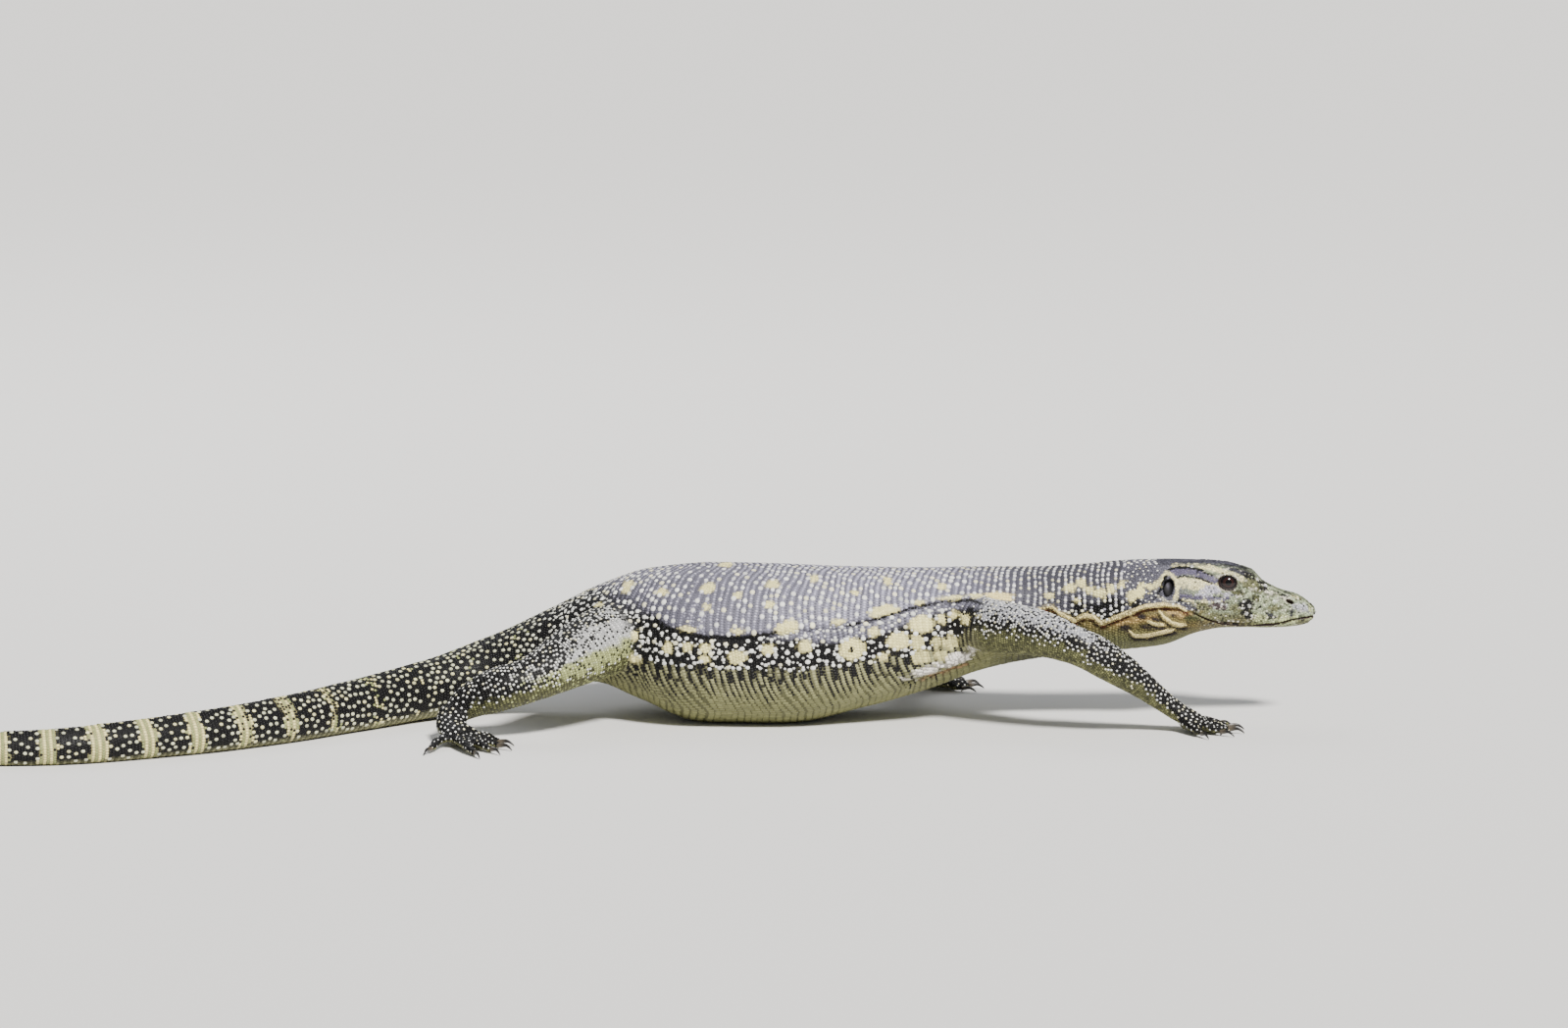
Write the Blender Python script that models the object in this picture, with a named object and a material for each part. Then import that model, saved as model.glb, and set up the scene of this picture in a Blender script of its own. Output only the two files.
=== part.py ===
# Water monitor lizard, life size, walking with its belly low.
# Metres, +Z up, floor at z = 0, nose towards +X, origin under the belly.

import math

import bmesh
import bpy
import numpy as np

# Fit and fineness
GAP = 0.0003
LIMB_SLIT = 0.0009
BODY_CORNERS = 24
TAIL_CORNERS = 16
TAIL_END_CORNERS = 12
LIMB_CORNERS = 12
DIGIT_CORNERS = 8
CLAW_CORNERS = 5
EYE_CORNERS = 12
EYE_LEVELS = 8
EAR_CORNERS = 14

# Body from nose to tail tip. Each station holds its place in plan (x, y), the heights of its top
# and underside, its half width, how far up its widest line lies (0 underside, 1 top) and how
# square its corners are (2 is an ellipse).
STATIONS = {
    "nose": (0.4022, 0.000, 0.0790, 0.0734, 0.0028, 0.50, 2.1),
    "nose_edge": (0.4006, 0.000, 0.0810, 0.0705, 0.0058, 0.50, 2.2),
    "lip": (0.3970, 0.000, 0.0843, 0.0668, 0.0090, 0.50, 2.2),
    "nostril": (0.3895, 0.000, 0.0893, 0.0650, 0.0122, 0.48, 2.3),
    "muzzle": (0.3770, 0.000, 0.0932, 0.0638, 0.0138, 0.46, 2.4),
    "bridge": (0.3640, 0.000, 0.0985, 0.0636, 0.0160, 0.44, 2.5),
    "brow": (0.3530, 0.000, 0.1075, 0.0640, 0.0190, 0.50, 2.6),
    "eye": (0.3360, 0.000, 0.1135, 0.0640, 0.0225, 0.55, 2.7),
    "cheek": (0.3150, 0.000, 0.1150, 0.0607, 0.0270, 0.46, 2.6),
    "ear": (0.2930, 0.000, 0.1155, 0.0535, 0.0295, 0.45, 2.5),
    "nape": (0.2650, 0.001, 0.1148, 0.0495, 0.0290, 0.46, 2.3),
    "neck": (0.2300, 0.003, 0.1115, 0.0460, 0.0300, 0.46, 2.2),
    "collar": (0.1950, 0.006, 0.1090, 0.0415, 0.0350, 0.46, 2.2),
    "shoulder": (0.1560, 0.008, 0.1085, 0.0330, 0.0440, 0.46, 2.2),
    "chest": (0.1180, 0.006, 0.1080, 0.0200, 0.0520, 0.44, 2.2),
    "ribs": (0.0650, 0.000, 0.1095, 0.0070, 0.0600, 0.42, 2.3),
    "belly": (0.0100, -0.006, 0.1125, -0.0032, 0.0640, 0.40, 2.3),
    "flank": (-0.0400, -0.006, 0.1135, -0.0026, 0.0620, 0.42, 2.3),
    "loin": (-0.0850, 0.002, 0.1085, 0.0120, 0.0510, 0.46, 2.2),
    "hip": (-0.1220, 0.010, 0.0950, 0.0240, 0.0400, 0.50, 2.2),
    "vent": (-0.1580, 0.014, 0.0765, 0.0190, 0.0310, 0.52, 2.1),
    "tail_root": (-0.1980, 0.010, 0.0580, 0.0080, 0.0245, 0.50, 2.1),
    "tail_bend": (-0.2450, -0.014, 0.0440, 0.0010, 0.0200, 0.48, 2.1),
    "tail_low": (-0.3000, -0.062, 0.0370, -0.0022, 0.0172, 0.46, 2.1),
    "tail_swing": (-0.3500, -0.110, 0.0335, -0.0024, 0.0155, 0.45, 2.1),
    "tail_near": (-0.4200, -0.160, 0.0300, -0.0022, 0.0134, 0.45, 2.1),
    "tail_middle": (-0.5200, -0.200, 0.0255, -0.0022, 0.0110, 0.45, 2.1),
    "tail_far": (-0.6400, -0.205, 0.0200, -0.0018, 0.0082, 0.45, 2.1),
    "tail_thin": (-0.7600, -0.168, 0.0140, -0.0012, 0.0056, 0.45, 2.1),
    "tail_end": (-0.8600, -0.128, 0.0082, -0.0008, 0.0034, 0.45, 2.0),
    "tail_tip": (-0.9100, -0.106, 0.0042, -0.0004, 0.0018, 0.45, 2.0),
}

# Body nodes, from one station to the next, with the rings that each takes
BODY_NODES = {
    "neck": ("nape", "shoulder", 8),
    "trunk_front": ("shoulder", "ribs", 7),
    "trunk_middle": ("ribs", "flank", 7),
    "trunk_rear": ("flank", "vent", 9),
    "tail_1": ("vent", "tail_low", 10),
    "tail_2": ("tail_low", "tail_near", 8),
    "tail_3": ("tail_near", "tail_middle", 6),
    "tail_4": ("tail_middle", "tail_thin", 9),
    "tail_5": ("tail_thin", "tail_tip", 6),
}
CORNERS_OF = {
    "tail_1": TAIL_CORNERS,
    "tail_2": TAIL_CORNERS,
    "tail_3": TAIL_CORNERS,
    "tail_4": TAIL_END_CORNERS,
    "tail_5": TAIL_END_CORNERS,
}
HEAD_RINGS = 20
HEAD_CROWDING = 1.35
CUTTER_RINGS = 60

# How far the tail narrows towards its upper edge
TAIL_RIDGE = 0.55

# Mouth line on the side of the head, and the corner where it ends
MOUTH = {
    "front": (0.4060, 0.0768),
    "fore": (0.3880, 0.0752),
    "dip": (0.3720, 0.0712),
    "middle": (0.3520, 0.0700),
    "rear": (0.3340, 0.0715),
    "corner": (0.3080, 0.0820),
}
JAW_BOTTOM = 0.040

# Eye and ear of the right side. The left side mirrors them.
EYE_CENTRE = (0.3365, 0.0160, 0.1010)
EYE_RADII = (0.0078, 0.0062, 0.0073)
EAR_CENTRE = (0.2930, 0.0272, 0.0965)
EAR_HALF_LENGTH = 0.0046
EAR_HALF_HEIGHT = 0.0074
EAR_LEAN = math.radians(16)
EAR_DEPTH = 0.0040
EARDRUM_THICKNESS = 0.0012

# Each limb runs from its root inside the trunk to its knuckles. A point holds its place, its half
# width and its half thickness. A new node starts at each point that the cuts name.
LIMBS = {
    "right_fore": {
        "points": [
            (0.138, -0.020, 0.0740, 0.0205, 0.0215),
            (0.166, -0.043, 0.0735, 0.0188, 0.0198),
            (0.197, -0.065, 0.0720, 0.0160, 0.0170),
            (0.224, -0.079, 0.0660, 0.0145, 0.0150),
            (0.250, -0.078, 0.0510, 0.0132, 0.0132),
            (0.274, -0.070, 0.0340, 0.0104, 0.0100),
            (0.291, -0.065, 0.0200, 0.0096, 0.0078),
            (0.303, -0.064, 0.0120, 0.0112, 0.0070),
            (0.313, -0.066, 0.0075, 0.0122, 0.0060),
        ],
        "nodes": ("upper_arm_right", "forearm_right", "hand_right"),
        "heading": -18,
        "cuts": (3, 6),
        "kind": "hand",
    },
    "left_fore": {
        "points": [
            (0.152, 0.024, 0.070, 0.0200, 0.0210),
            (0.128, 0.048, 0.071, 0.0182, 0.0190),
            (0.100, 0.070, 0.070, 0.0158, 0.0165),
            (0.079, 0.086, 0.062, 0.0142, 0.0148),
            (0.082, 0.096, 0.046, 0.0128, 0.0128),
            (0.094, 0.102, 0.030, 0.0102, 0.0098),
            (0.107, 0.106, 0.0185, 0.0094, 0.0076),
            (0.118, 0.110, 0.0118, 0.0112, 0.0070),
            (0.127, 0.114, 0.0075, 0.0122, 0.0060),
        ],
        "nodes": ("upper_arm_left", "forearm_left", "hand_left"),
        "heading": 26,
        "cuts": (3, 6),
        "kind": "hand",
    },
    "right_hind": {
        "points": [
            (-0.100, -0.014, 0.0640, 0.0285, 0.0275),
            (-0.122, -0.043, 0.0600, 0.0262, 0.0255),
            (-0.144, -0.069, 0.0520, 0.0218, 0.0212),
            (-0.168, -0.087, 0.0425, 0.0176, 0.0172),
            (-0.193, -0.091, 0.0345, 0.0172, 0.0160),
            (-0.214, -0.091, 0.0255, 0.0136, 0.0122),
            (-0.226, -0.096, 0.0175, 0.0112, 0.0094),
            (-0.226, -0.109, 0.0120, 0.0118, 0.0078),
            (-0.217, -0.126, 0.0082, 0.0128, 0.0064),
        ],
        "nodes": ("thigh_right", "shank_right", "foot_right"),
        "heading": -52,
        "cuts": (3, 6),
        "kind": "foot",
    },
    "left_hind": {
        "points": [
            (-0.126, 0.028, 0.0620, 0.0285, 0.0275),
            (-0.106, 0.056, 0.0620, 0.0258, 0.0252),
            (-0.082, 0.080, 0.0600, 0.0216, 0.0210),
            (-0.066, 0.100, 0.0500, 0.0176, 0.0172),
            (-0.072, 0.116, 0.0370, 0.0168, 0.0158),
            (-0.082, 0.129, 0.0245, 0.0134, 0.0120),
            (-0.082, 0.140, 0.0165, 0.0112, 0.0094),
            (-0.072, 0.149, 0.0115, 0.0118, 0.0078),
            (-0.058, 0.156, 0.0082, 0.0128, 0.0064),
        ],
        "nodes": ("thigh_left", "shank_left", "foot_left"),
        "heading": 26,
        "cuts": (3, 6),
        "kind": "foot",
    },
}
RINGS_PER_SPAN = 2
DIGIT_RINGS = 6
CLAW_RINGS = 5

# Digits from the inner to the outer one: place across the palm (-1 inner, 1 outer), turn from
# the heading in degrees, length and half thickness
DIGITS = {
    "hand": [
        (-0.80, -38, 0.0150, 0.0039),
        (-0.42, -17, 0.0225, 0.0040),
        (0.00, 0, 0.0255, 0.0041),
        (0.42, 16, 0.0240, 0.0040),
        (0.80, 42, 0.0170, 0.0038),
    ],
    "foot": [
        (-0.80, -30, 0.0190, 0.0041),
        (-0.42, -13, 0.0290, 0.0042),
        (0.00, 2, 0.0370, 0.0043),
        (0.42, 17, 0.0430, 0.0042),
        (0.78, 58, 0.0250, 0.0039),
    ],
}
DIGIT_ROOT_BACK = 0.0085
DIGIT_ROOT_HEIGHT = 0.0062
DIGIT_KNUCKLE_HEIGHT = 0.0066
DIGIT_TIP_HEIGHT = 0.0027
DIGIT_TIP_TAPER = 0.68
CLAW_LENGTH = {"hand": 0.0100, "foot": 0.0105}
CLAW_HALF_THICKNESS = 0.0019
CLAW_TIP_HALF = 0.00035
CLAW_ARCH = 0.0022
CLAW_LEVEL = 0.08
CLAW_TIP_HEIGHT = 0.0006

# Colours as seen in life, with roughness
HIDE_DARK = ((0.060, 0.062, 0.066), 0.55)
HIDE_HEAD = ((0.300, 0.310, 0.190), 0.50)
HIDE_TAIL = ((0.070, 0.078, 0.040), 0.55)
HIDE_LIMB = ((0.100, 0.105, 0.090), 0.55)
EYE_COLOUR = ((0.035, 0.018, 0.012), 0.05)
CLAW_COLOUR = ((0.045, 0.040, 0.036), 0.30)
EARDRUM_COLOUR = ((0.110, 0.105, 0.110), 0.40)


def clear_scene():
    for thing in list(bpy.data.objects):
        bpy.data.objects.remove(thing, do_unlink=True)


def smooth_curve(knots, values, at):
    """Values at the places asked for, on a smooth curve that never overshoots its knots."""
    knots = np.asarray(knots, float)
    values = np.asarray(values, float)
    step = np.diff(knots)
    slope = np.diff(values, axis=0) / step[:, None]
    bend = np.zeros_like(values)
    bend[0] = slope[0]
    bend[-1] = slope[-1]
    before = slope[:-1]
    after = slope[1:]
    turns = before * after > 0
    safe_before = np.where(turns, before, 1.0)
    safe_after = np.where(turns, after, 1.0)
    lean = (2 * step[1:] + step[:-1])[:, None]
    trail = (step[1:] + 2 * step[:-1])[:, None]
    mean = (lean + trail) / (lean / safe_before + trail / safe_after)
    bend[1:-1] = np.where(turns, mean, 0.0)
    at = np.atleast_1d(np.asarray(at, float))
    span = np.clip(np.searchsorted(knots, at) - 1, 0, len(step) - 1)
    width = step[span][:, None]
    t = ((at - knots[span]) / step[span])[:, None]
    start = values[span] * (1 + 2 * t) * (1 - t) ** 2 + bend[span] * width * t * (1 - t) ** 2
    end = values[span + 1] * t**2 * (3 - 2 * t) + bend[span + 1] * width * t**2 * (t - 1)
    return start + end


STATION_TABLE = np.array(list(STATIONS.values()))
STATION_ALONG = np.concatenate(
    [[0.0], np.cumsum(np.linalg.norm(np.diff(STATION_TABLE[:, :2], axis=0), axis=1))]
)
ALONG_OF = dict(zip(STATIONS, STATION_ALONG))


def new_material(name, colour_and_roughness):
    colour, roughness = colour_and_roughness
    material = bpy.data.materials.new(name)
    material.use_nodes = True
    shader = material.node_tree.nodes["Principled BSDF"]
    shader.inputs["Base Color"].default_value = (*colour, 1.0)
    shader.inputs["Roughness"].default_value = roughness
    shader.inputs["Metallic"].default_value = 0.0
    return material


def new_object(name, points, faces, finish):
    mesh = bpy.data.meshes.new(name)
    mesh.from_pydata([tuple(p) for p in points], [], faces)
    shape = bmesh.new()
    shape.from_mesh(mesh)
    bmesh.ops.recalc_face_normals(shape, faces=shape.faces)
    shape.to_mesh(mesh)
    shape.free()
    mesh.shade_smooth()
    mesh.set_sharp_from_angle(angle=math.radians(50))
    thing = bpy.data.objects.new(name, mesh)
    bpy.context.scene.collection.objects.link(thing)
    if finish is None:
        thing.hide_render = True
        thing.display_type = "WIRE"
    else:
        mesh.materials.append(new_material(name, finish))
    return thing


def loft(name, rings, finish):
    """A closed solid through rings of points that all have the same number of corners."""
    corners = len(rings[0])
    points = [p for ring in rings for p in ring]
    faces = []
    for level in range(len(rings) - 1):
        low = level * corners
        for corner in range(corners):
            following = (corner + 1) % corners
            faces.append((low + corner, low + following, low + corners + following, low + corners + corner))
    faces.append(tuple(range(corners)))
    last = (len(rings) - 1) * corners
    faces.append(tuple(range(last + corners - 1, last - 1, -1)))
    return new_object(name, points, faces, finish)


def combine(thing, other, operation):
    modifier = thing.modifiers.new(operation.lower() + "_" + other.name, "BOOLEAN")
    modifier.operation = operation
    modifier.solver = "EXACT"
    modifier.object = other


def body_ring(along, corners=BODY_CORNERS, grown=0.0):
    """Corners of the body's upright cross-section at a distance from the nose."""
    x, y, top, bottom, half, widest, square = smooth_curve(STATION_ALONG, STATION_TABLE, along)[0]
    reach = 0.002
    ahead = smooth_curve(STATION_ALONG, STATION_TABLE, min(along + reach, STATION_ALONG[-1]))[0]
    behind = smooth_curve(STATION_ALONG, STATION_TABLE, max(along - reach, 0.0))[0]
    run = np.array([ahead[0] - behind[0], ahead[1] - behind[1]])
    run /= np.linalg.norm(run)
    side = np.array([-run[1], run[0]])
    middle = bottom + (top - bottom) * widest
    turn = np.arange(corners) / corners * math.tau
    across = np.cos(turn)
    rise = np.sin(turn)
    power = 2 / square
    out = np.sign(across) * np.abs(across) ** power * (half + grown)
    up = np.sign(rise) * np.abs(rise) ** power
    up = np.where(up > 0, up * (top - middle + grown), up * (middle - bottom + grown))
    tail_share = np.clip((along - ALONG_OF["vent"]) / (ALONG_OF["tail_swing"] - ALONG_OF["vent"]), 0, 1)
    pinch = 1 - TAIL_RIDGE * tail_share * np.clip(rise, 0, 1) ** 2
    height = np.maximum(middle + up, -grown)
    return np.column_stack([x + side[0] * out * pinch, y + side[1] * out * pinch, height])


def body_piece(name, places, finish, corners=BODY_CORNERS, grown=0.0):
    return loft(name, [body_ring(place, corners, grown) for place in places], finish)


def prism(name, outline, half_width, finish=None):
    """A side-view outline in x and z, extruded across the body."""
    count = len(outline)
    points = [(x, side * half_width, z) for side in (-1, 1) for x, z in outline]
    faces = [tuple(range(count)), tuple(range(2 * count - 1, count - 1, -1))]
    for corner in range(count):
        following = (corner + 1) % count
        faces.append((corner, following, count + following, count + corner))
    return new_object(name, points, faces, finish)


def mouth_outline(lowered, shortened):
    """Everything below the mouth line, as a side-view outline."""
    line = np.array(list(MOUTH.values()))
    places = np.linspace(line[0, 0], line[-1, 0] + shortened, 14)
    heights = smooth_curve(-line[:, 0], line[:, 1:], -places)[:, 0] - lowered
    edge = list(zip(places, heights))
    edge.append((places[-1], JAW_BOTTOM))
    edge.append((places[0], JAW_BOTTOM))
    return edge


def ellipsoid(name, centre, radii, finish):
    shape = bmesh.new()
    bmesh.ops.create_uvsphere(shape, u_segments=EYE_CORNERS, v_segments=EYE_LEVELS, radius=1.0)
    points = [(v.co.x, v.co.y, v.co.z) for v in shape.verts]
    faces = [tuple(v.index for v in face.verts) for face in shape.faces]
    shape.free()
    placed = [tuple(c + p * r for c, p, r in zip(centre, point, radii)) for point in points]
    return new_object(name, placed, faces, finish)


def ear_plug(name, side, grown, inner, outer, finish):
    """An oval plug that leans back, from its inner face to its outer face."""
    rings = []
    for depth in (inner, outer):
        ring = []
        for corner in range(EAR_CORNERS):
            turn = corner / EAR_CORNERS * math.tau
            along = math.cos(turn) * (EAR_HALF_LENGTH + grown)
            rise = math.sin(turn) * (EAR_HALF_HEIGHT + grown)
            x = EAR_CENTRE[0] + along * math.cos(EAR_LEAN) + rise * math.sin(EAR_LEAN)
            z = EAR_CENTRE[2] - along * math.sin(EAR_LEAN) + rise * math.cos(EAR_LEAN)
            ring.append((x, side * (EAR_CENTRE[1] + depth), z))
        rings.append(ring)
    return loft(name, rings, finish)


def make_head():
    end = ALONG_OF["nape"] - GAP / 2
    places = end * np.linspace(0.0, 1.0, HEAD_RINGS) ** HEAD_CROWDING
    head = body_piece("head", places, HIDE_HEAD)
    jaw = body_piece("lower_jaw", places, HIDE_HEAD)
    above = prism("mouth_above", mouth_outline(0.0, 0.0), 0.06)
    below = prism("mouth_below", mouth_outline(GAP, GAP), 0.06)
    combine(head, above, "DIFFERENCE")
    combine(jaw, below, "INTERSECT")
    for word, side in (("right", -1), ("left", 1)):
        centre = (EYE_CENTRE[0], side * EYE_CENTRE[1], EYE_CENTRE[2])
        ellipsoid("eye_" + word, centre, EYE_RADII, EYE_COLOUR)
        socket_radii = [radius + 2 * GAP for radius in EYE_RADII]
        socket = ellipsoid("socket_" + word, centre, socket_radii, None)
        combine(head, socket, "DIFFERENCE")
        floor_depth = -EAR_DEPTH
        drum_face = floor_depth + EARDRUM_THICKNESS
        ear_plug("eardrum_" + word, side, 0.0, floor_depth + GAP, drum_face, EARDRUM_COLOUR)
        recess = ear_plug("ear_recess_" + word, side, GAP, floor_depth, 4 * EAR_DEPTH, None)
        combine(head, recess, "DIFFERENCE")


def make_body():
    for name, (start, end, rings) in BODY_NODES.items():
        finish = HIDE_TAIL if name.startswith("tail") else HIDE_DARK
        last = 0.0 if end == "tail_tip" else GAP / 2
        places = np.linspace(ALONG_OF[start] + GAP / 2, ALONG_OF[end] - last, rings)
        body_piece(name, places, finish, CORNERS_OF.get(name, BODY_CORNERS))


def tube_rings(points, corners, count, first=0, last=None):
    """Rings along a smooth path, from one of its points to another. A point holds its place, half
    width and half thickness. A cut inside the path keeps half a gap to each side."""
    points = np.asarray(points, float)
    final = len(points) - 1
    last = final if last is None else last
    along = np.concatenate([[0.0], np.cumsum(np.linalg.norm(np.diff(points[:, :3], axis=0), axis=1))])
    places = np.linspace(along[first], along[last], count)
    shifts = np.zeros(count)
    shifts[0] = GAP / 2 if first > 0 else 0.0
    shifts[-1] = -GAP / 2 if last < final else 0.0
    rings = []
    for place, shift in zip(places, shifts):
        here = smooth_curve(along, points, place)[0]
        reach = along[-1] * 0.02
        ahead = smooth_curve(along, points, min(place + reach, along[-1]))[0][:3]
        behind = smooth_curve(along, points, max(place - reach, 0.0))[0][:3]
        run = (ahead - behind) / np.linalg.norm(ahead - behind)
        side = np.cross(run, (0.0, 0.0, 1.0))
        side /= np.linalg.norm(side)
        rise = np.cross(side, run)
        ring = []
        for corner in range(corners):
            turn = (corner + 0.5) / corners * math.tau
            spot = here[:3] + run * shift + side * math.cos(turn) * here[3]
            ring.append(spot + rise * math.sin(turn) * here[4])
        rings.append(ring)
    return rings


def limb_pieces(limb, finish):
    """The three lengths of a limb, each a closed solid with a thin slit to the next."""
    ends = [0, *limb["cuts"], len(limb["points"]) - 1]
    made = []
    for index, name in enumerate(limb["nodes"]):
        first = ends[index]
        last = ends[index + 1]
        count = (last - first) * RINGS_PER_SPAN + 1
        made.append(loft(name, tube_rings(limb["points"], LIMB_CORNERS, count, first, last), finish))
    return made


def digit_points(limb, digit):
    """Path of one digit from inside the palm to its tip, and its direction in plan."""
    across, turn, length, half = digit
    end = np.array(limb["points"][-1])
    heading = math.radians(limb["heading"])
    outward = -1.0 if "right" in limb["nodes"][0] else 1.0
    forward = np.array([math.cos(heading), math.sin(heading), 0.0])
    side = np.array([-math.sin(heading), math.cos(heading), 0.0]) * outward
    angle = heading + outward * math.radians(turn)
    ray = np.array([math.cos(angle), math.sin(angle), 0.0])
    root = end[:3] + side * across * end[3] * 0.82 - forward * DIGIT_ROOT_BACK
    root[2] = DIGIT_ROOT_HEIGHT
    reach = length + DIGIT_ROOT_BACK
    path = []
    for share, height, thick in (
        (0.0, DIGIT_ROOT_HEIGHT, 1.0),
        (0.35, DIGIT_ROOT_HEIGHT, 1.0),
        (0.60, DIGIT_KNUCKLE_HEIGHT * 0.92, 1.05),
        (0.80, DIGIT_TIP_HEIGHT * 1.45, 0.90),
        (0.95, DIGIT_TIP_HEIGHT, 0.76),
        (1.0, DIGIT_TIP_HEIGHT, DIGIT_TIP_TAPER),
    ):
        place = root + ray * reach * share
        path.append((place[0], place[1], height, half * thick, half * thick * 0.92))
    return path, ray


def make_claw(name, tip, ray, length):
    """A hooked claw ahead of a digit's tip, arched up and then down to the floor."""
    path = []
    for share in (0.0, CLAW_LEVEL, 0.35, 0.6, 0.8, 1.0):
        bent = max(share - CLAW_LEVEL, 0.0) / (1 - CLAW_LEVEL)
        height = tip[2] + CLAW_ARCH * math.sin(math.pi * bent) * (1 - 0.35 * bent)
        height += (CLAW_TIP_HEIGHT - tip[2]) * bent**1.6
        half = CLAW_HALF_THICKNESS * (1 - share) ** 0.8 + CLAW_TIP_HALF
        place = tip + ray * (GAP + length * share)
        path.append((place[0], place[1], max(height, half), half * 0.8, half))
    return loft(name, tube_rings(path, CLAW_CORNERS, CLAW_RINGS), CLAW_COLOUR)


def make_limbs():
    places = np.linspace(ALONG_OF["nape"], ALONG_OF["tail_bend"], CUTTER_RINGS)
    trunk = body_piece("trunk_cutter", places, None, grown=LIMB_SLIT)
    floor = prism("floor_cutter", [(-0.5, -0.03), (0.5, -0.03), (0.5, 0.0), (-0.5, 0.0)], 0.3)
    for limb in LIMBS.values():
        upper, _, paw = limb_pieces(limb, HIDE_LIMB)
        combine(upper, trunk, "DIFFERENCE")
        word = limb["nodes"][0].split("_")[-1]
        for number, digit in enumerate(DIGITS[limb["kind"]], start=1):
            path, ray = digit_points(limb, digit)
            rings = tube_rings(path, DIGIT_CORNERS, DIGIT_RINGS)
            name = "{}_digit_{}_{}".format(limb["kind"], number, word)
            combine(paw, loft(name, rings, None), "UNION")
            tip = np.array(path[-1][:3])
            claw = "{}_claw_{}_{}".format(limb["kind"], number, word)
            make_claw(claw, tip, ray, CLAW_LENGTH[limb["kind"]])
        combine(paw, floor, "DIFFERENCE")


clear_scene()
make_head()
make_body()
make_limbs()
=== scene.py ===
import math
import bmesh
import bpy
import numpy as np
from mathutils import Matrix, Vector
from mathutils.bvhtree import BVHTree
from mathutils.kdtree import KDTree


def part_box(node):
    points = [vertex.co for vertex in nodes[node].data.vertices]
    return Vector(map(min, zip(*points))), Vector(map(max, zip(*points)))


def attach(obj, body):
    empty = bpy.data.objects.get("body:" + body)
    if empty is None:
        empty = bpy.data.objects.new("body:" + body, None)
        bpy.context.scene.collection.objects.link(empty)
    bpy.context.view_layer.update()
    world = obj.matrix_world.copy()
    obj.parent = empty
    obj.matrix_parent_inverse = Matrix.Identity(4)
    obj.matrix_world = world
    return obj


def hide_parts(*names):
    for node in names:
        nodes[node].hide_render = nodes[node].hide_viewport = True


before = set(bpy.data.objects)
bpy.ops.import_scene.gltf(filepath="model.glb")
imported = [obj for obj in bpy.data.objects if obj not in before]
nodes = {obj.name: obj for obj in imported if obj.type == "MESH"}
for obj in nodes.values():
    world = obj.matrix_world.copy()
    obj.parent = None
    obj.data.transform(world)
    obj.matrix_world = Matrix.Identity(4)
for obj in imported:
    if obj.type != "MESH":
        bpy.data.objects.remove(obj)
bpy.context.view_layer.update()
print("frame loaded,", len(nodes), "nodes")

# the photograph's own frame: pixels to metres in the side view
photo = {"pixelsPerMetre": 1400.0, "originAcross": 780.0, "floorDown": 730.0, "raise": 9.0}
riseCos = math.cos(math.radians(photo["raise"]))
riseSin = math.sin(math.radians(photo["raise"]))

chunkRows = 8000  # points looked at in one go

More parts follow.
